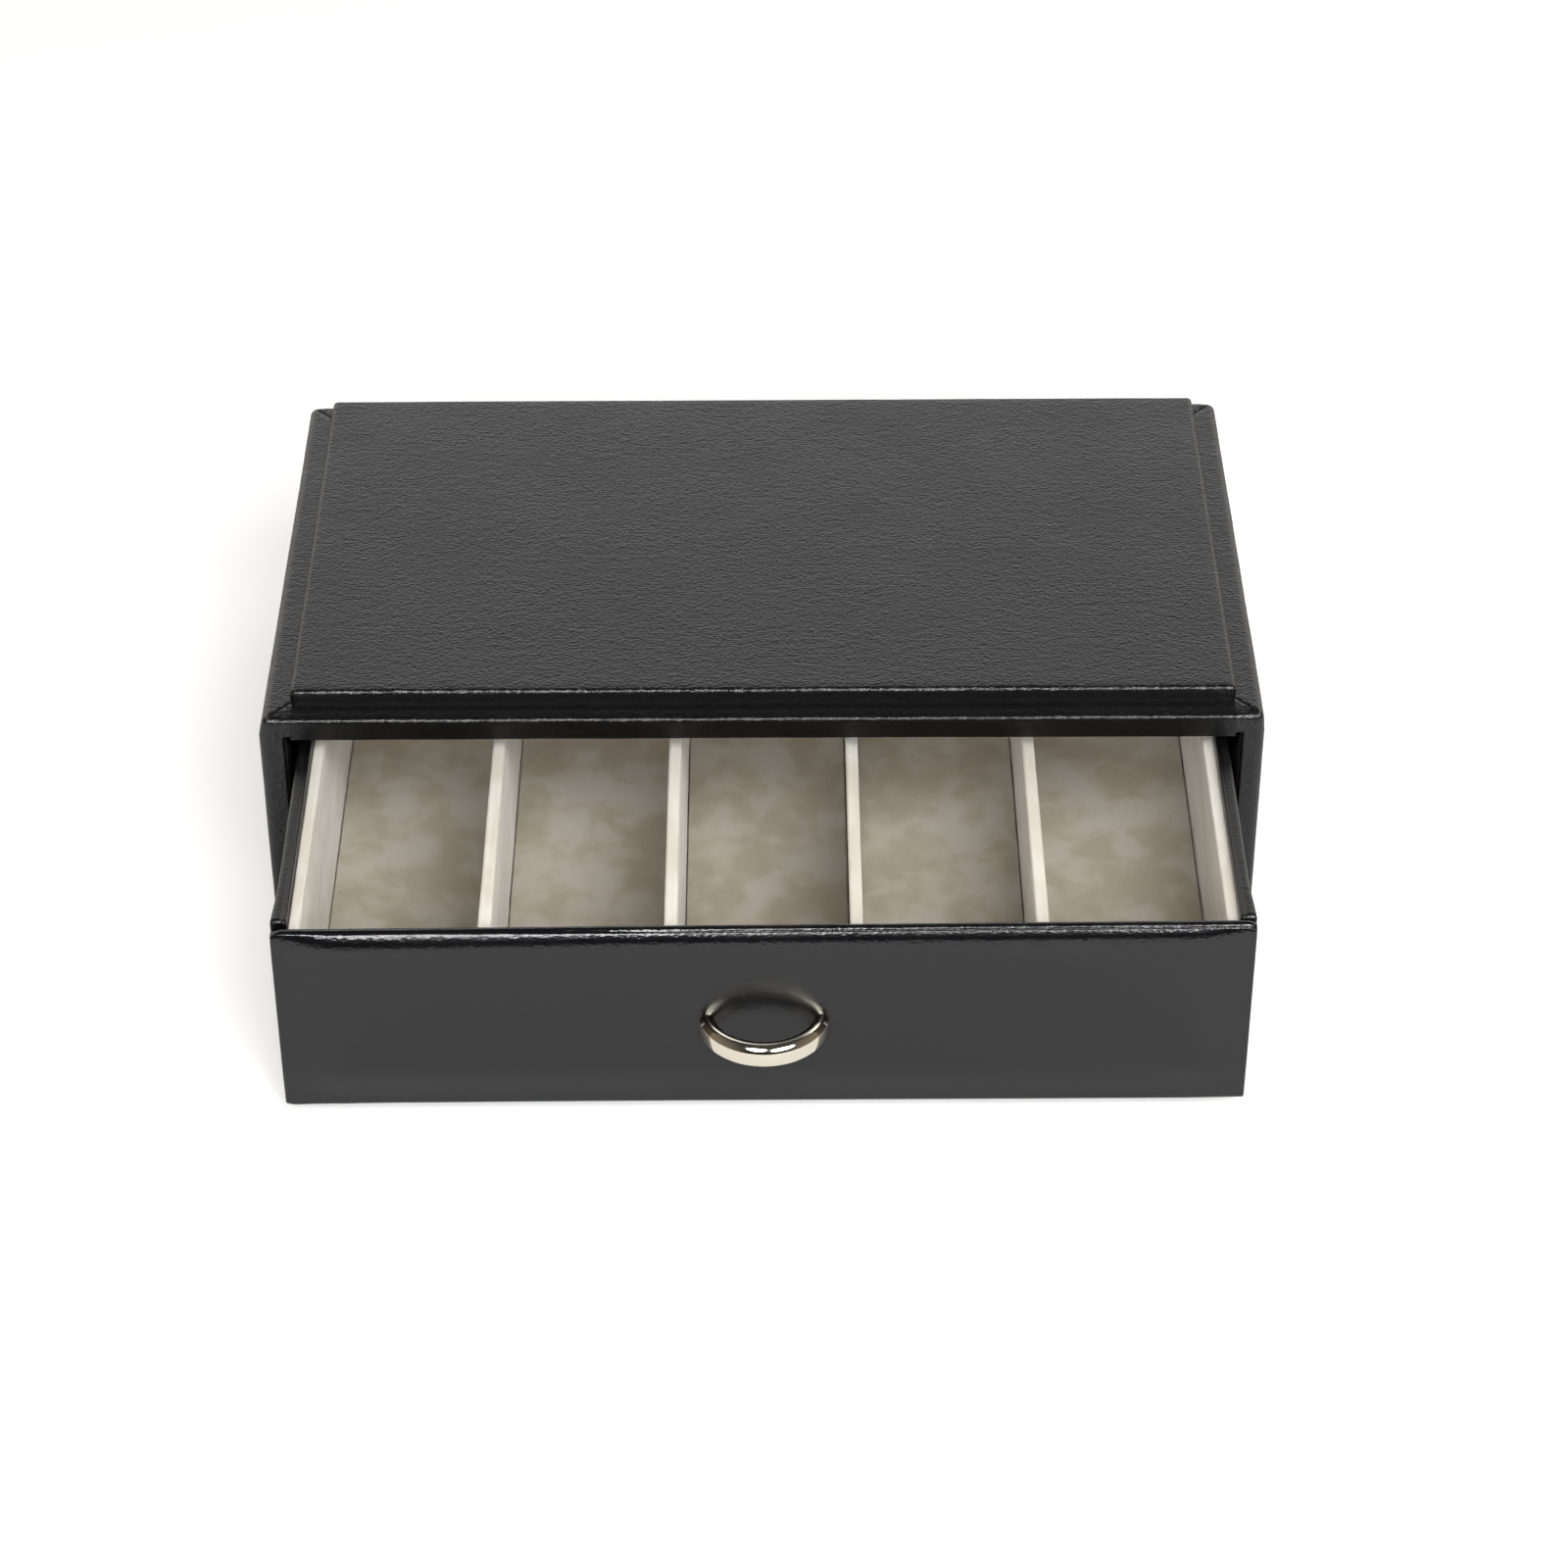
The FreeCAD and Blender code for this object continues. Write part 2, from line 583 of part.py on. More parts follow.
def dividers():
    """Velour-covered boards that part the tray, evenly spaced."""
    pieces = []
    for number in range(1, BAYS):
        x = f"{number} * bay_pitch - (insert_width + divider) / 2"
        wall = block(f"divider_{number}", ("divider", "bay_depth", "pad_height"),
                     (x, "bay_y", "tray_floor"))
        round_edges(wall, long_top("Y"), "divider_edge")
        pieces.append(wall)
    return pieces


def floor_pads():
    """One crowned velour pad on the floor of each bay."""
    pieces = []
    for number in range(BAYS):
        x = f"{number} * bay_pitch + (bay_width - insert_width) / 2"
        pad = arched_bar(f"floor_pad_{number + 1}", "bay_width - 2 * soft_fit",
                         "floor_pad - floor_crown", "floor_crown", "bay_depth - 2 * soft_fit",
                         (x, "bay_y - bay_depth / 2 + soft_fit", "tray_floor"))
        round_edges(pad, long_upper("Y"), "floor_pad_round")
        pieces.append(pad)
    return pieces


def pull_handle():
    """The half ring on the drawer front, with a blind bore in each end for its screw."""
    handle = half_ring("pull_handle", ("0", "front_y", "screw_z"))
    before = handle.Shape.Volume
    ends = sketch_on(handle, "XZ_Plane", "pull_handle_ends")
    circle_pair(ends, "screw_x", "0", "screw_diameter / 2 + thread_gap")
    threads = handle.newObject("PartDesign::Pocket", "pull_handle_bores")
    threads.Profile = ends
    threads.Reversed = True
    threads.setExpression("Length", cells("screw_grip + screw_slack"))
    doc.recompute()
    if not handle.Shape.Volume < before:
        raise ValueError("the handle wasn't bored")
    return [handle]


def handle_fasteners():
    """A screw and a washer behind the drawer front at each end of the handle."""
    hole = "screw_diameter / 2 + bore_gap"
    rim = "washer_diameter / 2"
    washer = turned("washer", ((hole, "0"), (rim, "0"), (rim, "washer_thick"), (hole, "washer_thick")),
                    ("screw_x", "front_y + front_wrap", "screw_z"))
    shank = "screw_diameter / 2"
    head = "head_diameter / 2"
    tip = "0 - washer_thick - front_wrap - screw_grip"
    screw = turned("screw", (("0", tip), (shank, tip), (shank, "0"), (head, "0"),
                             (head, "head_height"), ("0", "head_height")),
                   ("screw_x", "front_y + front_wrap + washer_thick", "screw_z"))
    return [mirrored_pair("handle_washers", washer), mirrored_pair("handle_screws", screw)]


PIECES = [*case_sides(), *case_top(), *case_back(), *case_bottom(), *raised_panel(),
          *drawer_front(), *drawer_walls(), *drawer_bottom(),
          *side_pads(), *end_pads(), *dividers(), *floor_pads(),
          *pull_handle(), *handle_fasteners()]

doc.recompute()
for item in doc.Objects:
    if "Invalid" in item.State or "Error" in item.State:
        raise RuntimeError(f"{item.Label} failed: {item.State}")
for piece in PIECES:
    shape = piece.Shape
    if shape.isNull() or not shape.isValid() or not shape.Solids:
        raise RuntimeError(f"{piece.Label} has no valid solid")
print(len(PIECES), "pieces,", sum(len(piece.Shape.Solids) for piece in PIECES), "solids")

os.makedirs("parts", exist_ok=True)
for piece in PIECES:
    piece.Shape.exportStep(f"parts/{piece.Label}.step")
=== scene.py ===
"""Eyeglasses storage box with a drawer: leather, velour, handle and studio, round the packed CAD model.

Meshes are worked out in millimetres, from the boxes of the CAD nodes, and finished in metres.
"""

import math

import bmesh
import bpy
from mathutils import Matrix, Vector, kdtree, noise


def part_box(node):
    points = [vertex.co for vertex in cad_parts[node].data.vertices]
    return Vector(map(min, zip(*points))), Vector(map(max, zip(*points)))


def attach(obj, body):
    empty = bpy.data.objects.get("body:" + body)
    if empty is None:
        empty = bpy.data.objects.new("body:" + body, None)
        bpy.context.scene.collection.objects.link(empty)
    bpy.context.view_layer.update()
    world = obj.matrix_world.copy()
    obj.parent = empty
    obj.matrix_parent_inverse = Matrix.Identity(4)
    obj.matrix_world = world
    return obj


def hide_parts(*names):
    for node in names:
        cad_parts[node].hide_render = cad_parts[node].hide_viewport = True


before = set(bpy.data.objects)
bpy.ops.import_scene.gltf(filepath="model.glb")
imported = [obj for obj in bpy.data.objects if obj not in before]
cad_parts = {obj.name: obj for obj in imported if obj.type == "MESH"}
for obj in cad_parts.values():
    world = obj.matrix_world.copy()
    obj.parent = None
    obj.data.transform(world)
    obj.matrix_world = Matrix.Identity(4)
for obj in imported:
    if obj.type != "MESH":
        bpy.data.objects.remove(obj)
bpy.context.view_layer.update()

bl_info = {
    "name": "Eyeglasses storage box",
    "version": (1, 0, 0),
    "blender": (4, 5, 0),
    "location": "3D View > Sidebar > Box",
    "description": "Leather-covered box with a velour-lined drawer for glasses",
    "category": "Object",
}

X, Y, Z = range(3)
MM = 0.001


def linear(text):
    """A colour written as sRGB hex, as the linear values that shaders use."""
    parts = [int(text[start:start + 2], 16) / 255 for start in (1, 3, 5)]
    return tuple(part / 12.92 if part <= 0.04045 else ((part + 0.055) / 1.055) ** 2.4 for part in parts)


def ease(number, low, high):
    """0 up to `low`, 1 from `high` on, and smooth in between."""
    share = min(1.0, max(0.0, (number - low) / (high - low)))
    return share * share * (3 - 2 * share)


def ripple(point, size, seed=0.0):
    """A smooth uneven height between about -1 and 1, with swellings about `size` millimetres across."""
    return noise.noise(Vector(point) / size + Vector((seed, 1.7 * seed, 0.3 * seed)))


def node_box(name):
    """Lowest and highest corner of a CAD node, in millimetres."""
    low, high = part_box(name)
    return low / MM, high / MM


def even(low, high, step):
    """Rows from one place to another, evenly spaced and at most `step` apart."""
    count = max(1, math.ceil((high - low) / step))
    return [low + (high - low) * index / count for index in range(count + 1)]


def rows(low, high, step, low_bend=0.0, high_bend=0.0):
    """Rows from side to side: close together in the bends at the ends, and even between them."""
    turns = [1 - math.tan(math.radians(turn)) for turn in (45, 34, 23, 11)]
    first = [low + low_bend * turn for turn in turns] if low_bend else []
    last = [high - high_bend * turn for turn in reversed(turns)] if high_bend else []
    return [*first, *even(low + low_bend, high - high_bend, step), *last]


def gridded_box(*places):
    """A box whose faces are sliced at the rows given for each axis, which include its two ends."""
    bm = bmesh.new()
    bmesh.ops.create_cube(bm, size=1)
    for axis, across in enumerate(places):
        if len(across) > 2:
            whole = [edge for edge in bm.edges
                     if abs(edge.verts[0].co[axis] - edge.verts[1].co[axis]) > 0.5]
            bmesh.ops.subdivide_edges(bm, edges=whole, cuts=len(across) - 2, use_grid_fill=True)
    for vert in bm.verts:
        vert.co = [across[round((vert.co[axis] + 0.5) * (len(across) - 1))]
                   for axis, across in enumerate(places)]
    bm.normal_update()
    return bm


def round_off(bm, low, high, radii):
    """Round the box's edges. `radii` gives, for a place, each axis's radii at its low and high end."""
    for vert in bm.verts:
        core = vert.co.copy()
        reach = Vector((0, 0, 0))
        size = Vector((0, 0, 0))
        for axis, (first, last) in enumerate(radii(vert.co)):
            if first and vert.co[axis] < low[axis] + first:
                core[axis], size[axis] = low[axis] + first, first
            elif last and vert.co[axis] > high[axis] - last:
                core[axis], size[axis] = high[axis] - last, last
            if size[axis]:
                reach[axis] = (vert.co[axis] - core[axis]) / size[axis]
        if reach.length > 1e-6:
            reach *= max(abs(part) for part in reach) / reach.length
            vert.co = core + Vector([part * scale for part, scale in zip(reach, size)])


def rounded_box(low, high, steps, bends):
    """A gridded box with rounded edges, from each axis's step and its radii at its low and high end."""
    bm = gridded_box(*[rows(low[axis], high[axis], steps[axis], *bends[axis]) for axis in (X, Y, Z)])
    round_off(bm, low, high, lambda place: bends)
    return bm


def set_back(away, radius):
    """How far back a rounded edge of that radius lies, at a distance from where it begins."""
    return radius - math.sqrt(max(0.0, radius ** 2 - max(0.0, radius - away) ** 2))


def cut(bm, point, normal, wanted):
    """Slice the faces that `wanted` accepts along a plane."""
    faces = [face for face in bm.faces if wanted(face)]
    edges = {edge for face in faces for edge in face.edges}
    verts = {vert for face in faces for vert in face.verts}
    bmesh.ops.bisect_plane(bm, geom=[*verts, *edges, *faces], dist=1e-4, plane_co=point,
                           plane_no=normal)


def move(bm, change):
    """Move each vertex by what `change` gives for its place."""
    for vert in bm.verts:
        vert.co += Vector(change(vert.co))


def drop_faces(bm, unwanted):
    """Take out the faces whose middle and normal `unwanted` accepts."""
    bm.normal_update()
    gone = [face for face in bm.faces if unwanted(face.calc_center_median(), face.normal)]
    bmesh.ops.delete(bm, geom=gone, context="FACES")


def mirror_left(bm):
    """Turn a right-hand mesh into a left-hand one."""
    bmesh.ops.scale(bm, vec=(-1, 1, 1), verts=bm.verts)
    bmesh.ops.reverse_faces(bm, faces=bm.faces)


def new_object(name, data):
    """An object in the scene that shows the data."""
    made = bpy.data.objects.new(name, data)
    bpy.context.scene.collection.objects.link(made)
    return made


def finish_piece(name, bm, material, body, nodes, thickness=0.0, levels=0):
    """A mesh in millimetres becomes a piece in metres, in place of CAD nodes and on their body."""
    bmesh.ops.scale(bm, vec=(MM, MM, MM), verts=bm.verts)
    for face in bm.faces:
        face.smooth = True
    for edge in bm.edges:
        edge.smooth = not edge.is_boundary
    mesh = bpy.data.meshes.new(name)
    bm.to_mesh(mesh)
    bm.free()
    mesh.materials.append(material)
    made = new_object(name, mesh)
    if thickness:
        skin = made.modifiers.new("Thickness", "SOLIDIFY")
        skin.thickness = thickness * MM
        skin.offset = -1
    if levels:
        smooth = made.modifiers.new("Smooth", "SUBSURF")
        smooth.levels = smooth.render_levels = levels
    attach(made, body)
    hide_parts(*nodes)
    return made


# Materials

def add(tree, kind, inputs=(), **settings):
    """One shader node with its settings, which gives back its outputs.

    Inputs are values or sockets to link, by name or else in the node's own order. A map range takes a
    value, the ends of the range that it comes from, and the ends of the one that it goes to.
    """
    made = tree.nodes.new("ShaderNode" + kind)
    for key, setting in settings.items():
        setattr(made, key, setting)
    for key, given in inputs.items() if isinstance(inputs, dict) else enumerate(inputs):
        if isinstance(given, bpy.types.NodeSocket):
            tree.links.new(given, made.inputs[key])
        else:
            made.inputs[key].default_value = given
    return made.outputs


def surface(name, **settings):
    """A new material's node tree with its Principled shader set."""
    material = bpy.data.materials.new(name)
    material.use_nodes = True
    tree = material.node_tree
    shader = tree.nodes["Principled BSDF"]
    for key, setting in settings.items():
        shader.inputs[key.replace("_", " ")].default_value = setting
    return material, tree, shader


def stretched(tree, *sizes, **more):
    """A texture's inputs, with object coordinates whose unit is the size given for each axis in mm."""
    place = add(tree, "TexCoord")["Object"]
    vector = add(tree, "Mapping", {"Vector": place, "Scale": [1 / MM / size for size in sizes]})[0]
    return {"Vector": vector, "Scale": 1.0, **more}


def ramp(tree, factor, *stops):
    """A colour that runs through the stops, each a place and a hex colour."""
    made = add(tree, "ValToRGB", {"Fac": factor})["Color"]
    points = made.node.color_ramp.elements
    while len(points) < len(stops):
        points.new(0.5)
    for point, (place, text) in zip(points, stops):
        point.position = place
        point.color = (*linear(text), 1)
    return made


def bump(tree, shader, height, depth, under=None):
    """Bump of that depth in mm from a height, over another bump if one is given."""
    inputs = {"Height": height, "Distance": depth * MM}
    if under:
        inputs["Normal"] = under
    made = add(tree, "Bump", inputs)["Normal"]
    tree.links.new(made, shader.inputs["Normal"])
    return made


def patchy(tree, shader, factor, colour, share):
    """A base colour that runs from `colour` to `share` times as much."""
    mixed = add(tree, "Mix", {"Factor": factor, "A": (*colour, 1),
                              "B": (*[part * share for part in colour], 1)}, data_type="RGBA")
    tree.links.new(mixed["Result"], shader.inputs["Base Color"])


def textured(tree, shader, height, depth, *stops):
    """Base colour and bump, both from one height."""
    tree.links.new(ramp(tree, height, *stops), shader.inputs["Base Color"])
    bump(tree, shader, height, depth)


def imitation_leather(name, settings, roughness, grain_depth, grain, gloss, flatter):
    """Imitation leather: PVC on a cloth back, embossed while soft with a fine pebble grain.

    The film is dense black with a satin top coat. The pebbles are drawn out sideways, and break up
    its reflections into small dashes. They are finer by a third on the real box, too fine to show.
    """
    material, tree, shader = surface(name, Roughness=roughness, IOR=settings.ior,
                                     Specular_IOR_Level=gloss)
    pebbles = add(tree, "TexVoronoi", stretched(tree, 1.3 * grain, grain, grain, Smoothness=0.6),
                  feature="SMOOTH_F1")["Distance"]
    dashes = add(tree, "TexNoise", stretched(tree, 1.9 * grain, grain, grain, Detail=2.0,
                                             Roughness=0.6))["Fac"]
    folds = add(tree, "TexNoise", stretched(tree, 6 * grain, 3 * grain, 3 * grain, Detail=2.0))["Fac"]
    height = add(tree, "Math", (pebbles, 0.6, dashes), operation="MULTIPLY_ADD")[0]
    height = add(tree, "Math", (folds, 0.7, height), operation="MULTIPLY_ADD")[0]
    if flatter < 1:
        place = add(tree, "SeparateXYZ", {"Vector": add(tree, "TexCoord")["Object"]})
        left = add(tree, "MapRange", (place["Z"], *FLATTENED, flatter, 1.0))[0]
        height = add(tree, "Math", (height, left), operation="MULTIPLY")[0]
    bump(tree, shader, height, grain_depth)
    tone = add(tree, "TexNoise", stretched(tree, 30, 30, 30, Detail=2.0))["Fac"]
    worn = add(tree, "MapRange", (tone, 0.3, 0.7, roughness - 0.03, roughness + 0.03))[0]
    tree.links.new(worn, shader.inputs["Roughness"])
    patchy(tree, shader, tone, settings.colour, 1.25)
    return material


def velour(name, stops, patch, streak, streaked, grain_depth):
    """Velour: short polyester pile standing on a knit, brushed while it was glued down.

    The pile lies in pressed patches and brushed streaks. Their sheen is painted into the base colour:
    warm and deep where the pile leans away, cool and pale where it leans towards the eye.
    """
    material, tree, shader = surface(name, Roughness=0.95, Sheen_Weight=0.3, Sheen_Roughness=0.5)
    cloud = add(tree, "TexNoise", stretched(tree, *patch, Detail=2.5, Roughness=0.5,
                                            Distortion=0.3))["Fac"]
    # Painted sheen: the pressed patches of pile are made paler or deeper in the base colour
    pressed_pile_sheen = add(tree, "MapRange", (cloud, 0.36, 0.64, 0.15, 0.85), interpolation_type="SMOOTHSTEP")[0]
    pile = add(tree, "TexNoise", stretched(tree, 0.8, 0.8, 0.8, Detail=2.0, Roughness=0.6))["Fac"]
    lines = add(tree, "TexNoise", stretched(tree, *streak, Detail=3.0))["Fac"]
    mixed = add(tree, "Math", (pile, 0.4, pressed_pile_sheen), operation="MULTIPLY_ADD")[0]
    # Painted sheen: the brushed streaks are made paler in the base colour, as well as bumped below
    mixed = add(tree, "Math", (lines, streaked, mixed), operation="MULTIPLY_ADD")[0]
    level = add(tree, "Math", (mixed, 0.2 + 0.5 * streaked), operation="SUBTRACT")[0]
    tree.links.new(ramp(tree, level, *stops), shader.inputs["Base Color"])
    first = bump(tree, shader, pile, grain_depth)
    bump(tree, shader, lines, grain_depth * streaked * 2, under=first)
    return material


def polished_nickel(settings):
    """Nickel plate over cast zinc, polished: a mirror with a warm tint and almost no texture."""
    material, tree, shader = surface("polished_nickel", Metallic=1.0, Roughness=0.06)
    haze = add(tree, "TexNoise", stretched(tree, 9, 9, 9, Detail=4.0))["Fac"]
    patchy(tree, shader, haze, settings.colour, 0.96)
    soft = add(tree, "MapRange", (haze, 0.0, 1.0, 0.04, 0.09))[0]
    tree.links.new(soft, shader.inputs["Roughness"])
    return material


def zinc_plate():
    """Bright zinc on turned steel: a bluish grey metal with fine turning marks."""
    material, tree, shader = surface("zinc_plated_steel", Metallic=1.0, Roughness=0.35)
    marks = add(tree, "TexNoise", stretched(tree, 0.3, 2.0, 0.3, Detail=2.0))["Fac"]
    textured(tree, shader, marks, 0.01, (0.3, "#A9ABAE"), (0.7, "#C3C5C8"))
    return material


def fibreboard():
    """Medium density fibreboard: pressed wood fibres, brown and matt with darker flecks."""
    material, tree, shader = surface("pressed_fibreboard", Roughness=0.85)
    fibres = add(tree, "TexNoise", stretched(tree, 1.2, 0.7, 0.4, Detail=5.0, Roughness=0.7))["Fac"]
    textured(tree, shader, fibres, 0.06, (0.3, "#7B6248"), (0.7, "#A68A68"))
    return material


def foam():
    """Open-cell polyurethane foam: grey, matt and pitted."""
    material, tree, shader = surface("open_cell_foam", Roughness=0.95)
    pits = add(tree, "TexVoronoi", stretched(tree, 0.8, 0.8, 0.8))["Distance"]
    textured(tree, shader, pits, 0.2, (0.0, "#4E4E50"), (0.8, "#8A8A8C"))
    return material


def book_cloth():
    """Black book cloth: plain woven cotton filled with colour and backed with paper, quite matt."""
    material, tree, shader = surface("black_book_cloth", Roughness=0.9, IOR=1.4)
    threads = stretched(tree, 0.8, 0.8, 0.8, Distortion=0.6)
    ways = [add(tree, "TexWave", threads, bands_direction=way)["Fac"] for way in "XY"]
    weave = add(tree, "Math", ways, operation="MULTIPLY")[0]
    textured(tree, shader, weave, 0.06, (0.0, "#08080A"), (1.0, "#161617"))
    return material


# Settings

def length(name, description, default):
    """A length that a user may change, in metres."""
    return bpy.props.FloatProperty(name=name, description=description, default=default, min=0.0,
                                   unit="LENGTH", precision=5)


def colour(name, description, text):
    """A colour that a user may change."""
    return bpy.props.FloatVectorProperty(name=name, description=description, default=linear(text),
                                         size=3, subtype="COLOR", min=0.0, max=1.0)


class LeatherSettings(bpy.types.PropertyGroup):
    """Leather on the case and the drawer."""
    colour: colour("Colour", "Colour of the imitation leather", "#08080A")
    ior: bpy.props.FloatProperty(name="IOR", description="Refraction index of the top coat",
                                 default=1.55)
    thickness: length("Thickness", "Leather with its backing", 0.0008)
    left_swell: length("Left swell", "How far the leather stands off the left side board", 0.0014)
    right_swell: length("Right swell", "How far the leather stands off the right side board", 0.0006)
    front_swell: length("Front swell", "How far the padded drawer front stands proud", 0.0018)
    lip_drop: length("Lip drop", "Fall of the strip in front of the raised panel", 0.0010)


class VelourSettings(bpy.types.PropertyGroup):
    """Velour in the drawer."""
    edge: length("Edge", "Radius of the top edges of pads and dividers", 0.0009)
    crease: length("Crease", "Depth of the creases along the pads", 0.00012)
    plumpness: length("Plumpness", "How far a floor pad may swell", 0.0012)


class HandleSettings(bpy.types.PropertyGroup):
    """Half-ring handle."""
    colour: colour("Colour", "Colour of the nickel plate", "#EFE8D6")
    band: length("Band", "Height of the flat outer band", 0.0047)


class StudioSettings(bpy.types.PropertyGroup):
    """Camera, floor and light."""
    camera_place: bpy.props.FloatVectorProperty(
        name="Camera place", description="Where the camera stands", subtype="TRANSLATION",
        default=(0.00384, -1.1319, 0.8415))
    pitch: bpy.props.FloatProperty(name="Pitch", description="How far the camera looks down",
                                   default=math.radians(37.01), unit="ROTATION")
    yaw: bpy.props.FloatProperty(name="Yaw", description="Camera's turn to the right",
                                 default=math.radians(0.14), unit="ROTATION")
    roll: bpy.props.FloatProperty(name="Roll", description="Camera's turn about its own axis",
                                  default=math.radians(-0.22), unit="ROTATION")
    lens: bpy.props.FloatProperty(name="Lens", description="Focal length", default=95.78, unit="CAMERA")
    floor: colour("Floor", "Colour of the white sweep", "#F2F2F2")


def settings():
    return bpy.context.scene.glasses_box


def nested(kind, name):
    """One group of settings within the box's."""
    return bpy.props.PointerProperty(type=kind, name=name, description=kind.__doc__)


class BoxSettings(bpy.types.PropertyGroup):
    """All settings of the box."""
    leather: nested(LeatherSettings, "Leather")
    velour: nested(VelourSettings, "Velour")
    handle: nested(HandleSettings, "Handle")
    studio: nested(StudioSettings, "Studio")


# Leathers: roughness, depth and size of the grain in mm, gloss, and how much of the grain's depth is
# left below the height where it is flattened
# The folded leather is the grained leather with less gloss, which is painted shade: it darkens the top
# board's strip and front face
LEATHERS = {"grained": (0.31, 0.19, 0.85, 0.5, 1.0), "folded": (0.31, 0.13, 0.85, 0.36, 1.0),
            "stretched": (0.21, 0.09, 0.9, 0.5, 0.35), "turned": (0.31, 0.10, 0.8, 0.5, 1.0)}
# Heights in m between which the drawer front's grain gets flatter, from its rim down
FLATTENED = 0.060, 0.066
# Velours: name, colours, size of the pressed patches and of the streaks along the drawer in mm, weight
# of the streaks, and depth of the pile in mm. The patches' and streaks' sheen is painted into the
# colour.
VELOURS = {
    "cream_velour": ("cream_brushed_velour", ((0.0, "#D6CEBF"), (0.5, "#E0DACE"), (1.0, "#E8E5DD")),
                     (14, 30, 14), (1.1, 45.0, 1.1), 0.8, 0.08),
    "taupe_velour": ("taupe_crushed_velour", ((0.0, "#AAA08C"), (0.5, "#B8B09E"), (1.0, "#C5BEB4")),
                     (13, 15, 13), (3.0, 3.0, 3.0), 0.2, 0.10)}


def finish_leather(part, bm, kind, body, levels=0):
    """The leather of a part becomes a piece, in place of its CAD cover."""
    leather = settings().leather
    name = f"{kind}_black_leather"
    material = bpy.data.materials.get(name) or imitation_leather(name, leather, *LEATHERS[kind])
    return finish_piece(f"{part}_leather", bm, material, body, [f"{part}_cover"],
                        thickness=leather.thickness / MM, levels=levels)


def finish_velour(part, bm, slot):
    """A velour-covered part of the drawer becomes a piece."""
    name, *looks = VELOURS[slot]
    material = bpy.data.materials.get(name) or velour(name, *looks)
    return finish_piece(f"{part}_velour", bm, material, "drawer", [part], levels=1)


TOP_LOW, TOP_HIGH = node_box("top_cover")
HANDLE_LOW, HANDLE_HIGH = node_box("pull_handle")
# The ring's centre lies inside the drawer front, so less than half of it shows
HANDLE_LOW.z -= 1.8
HANDLE_HIGH.y += 2.4
PANEL_LOW, PANEL_HIGH = node_box("raised_panel_cover")
# The leathers of the case's sides end under the raised panel, just inside its edges
SEAM = PANEL_HIGH.x - 0.5


def strip_fall(y, drop):
    """How far the leather lies below its level in front of the raised panel."""
    share = max(0.0, (PANEL_LOW.y - y) / (PANEL_LOW.y - TOP_LOW.y))
    return drop * share * share


# Pieces

class GlassesBoxStep:
    """What the steps have in common."""
    bl_options = {"REGISTER", "UNDO"}


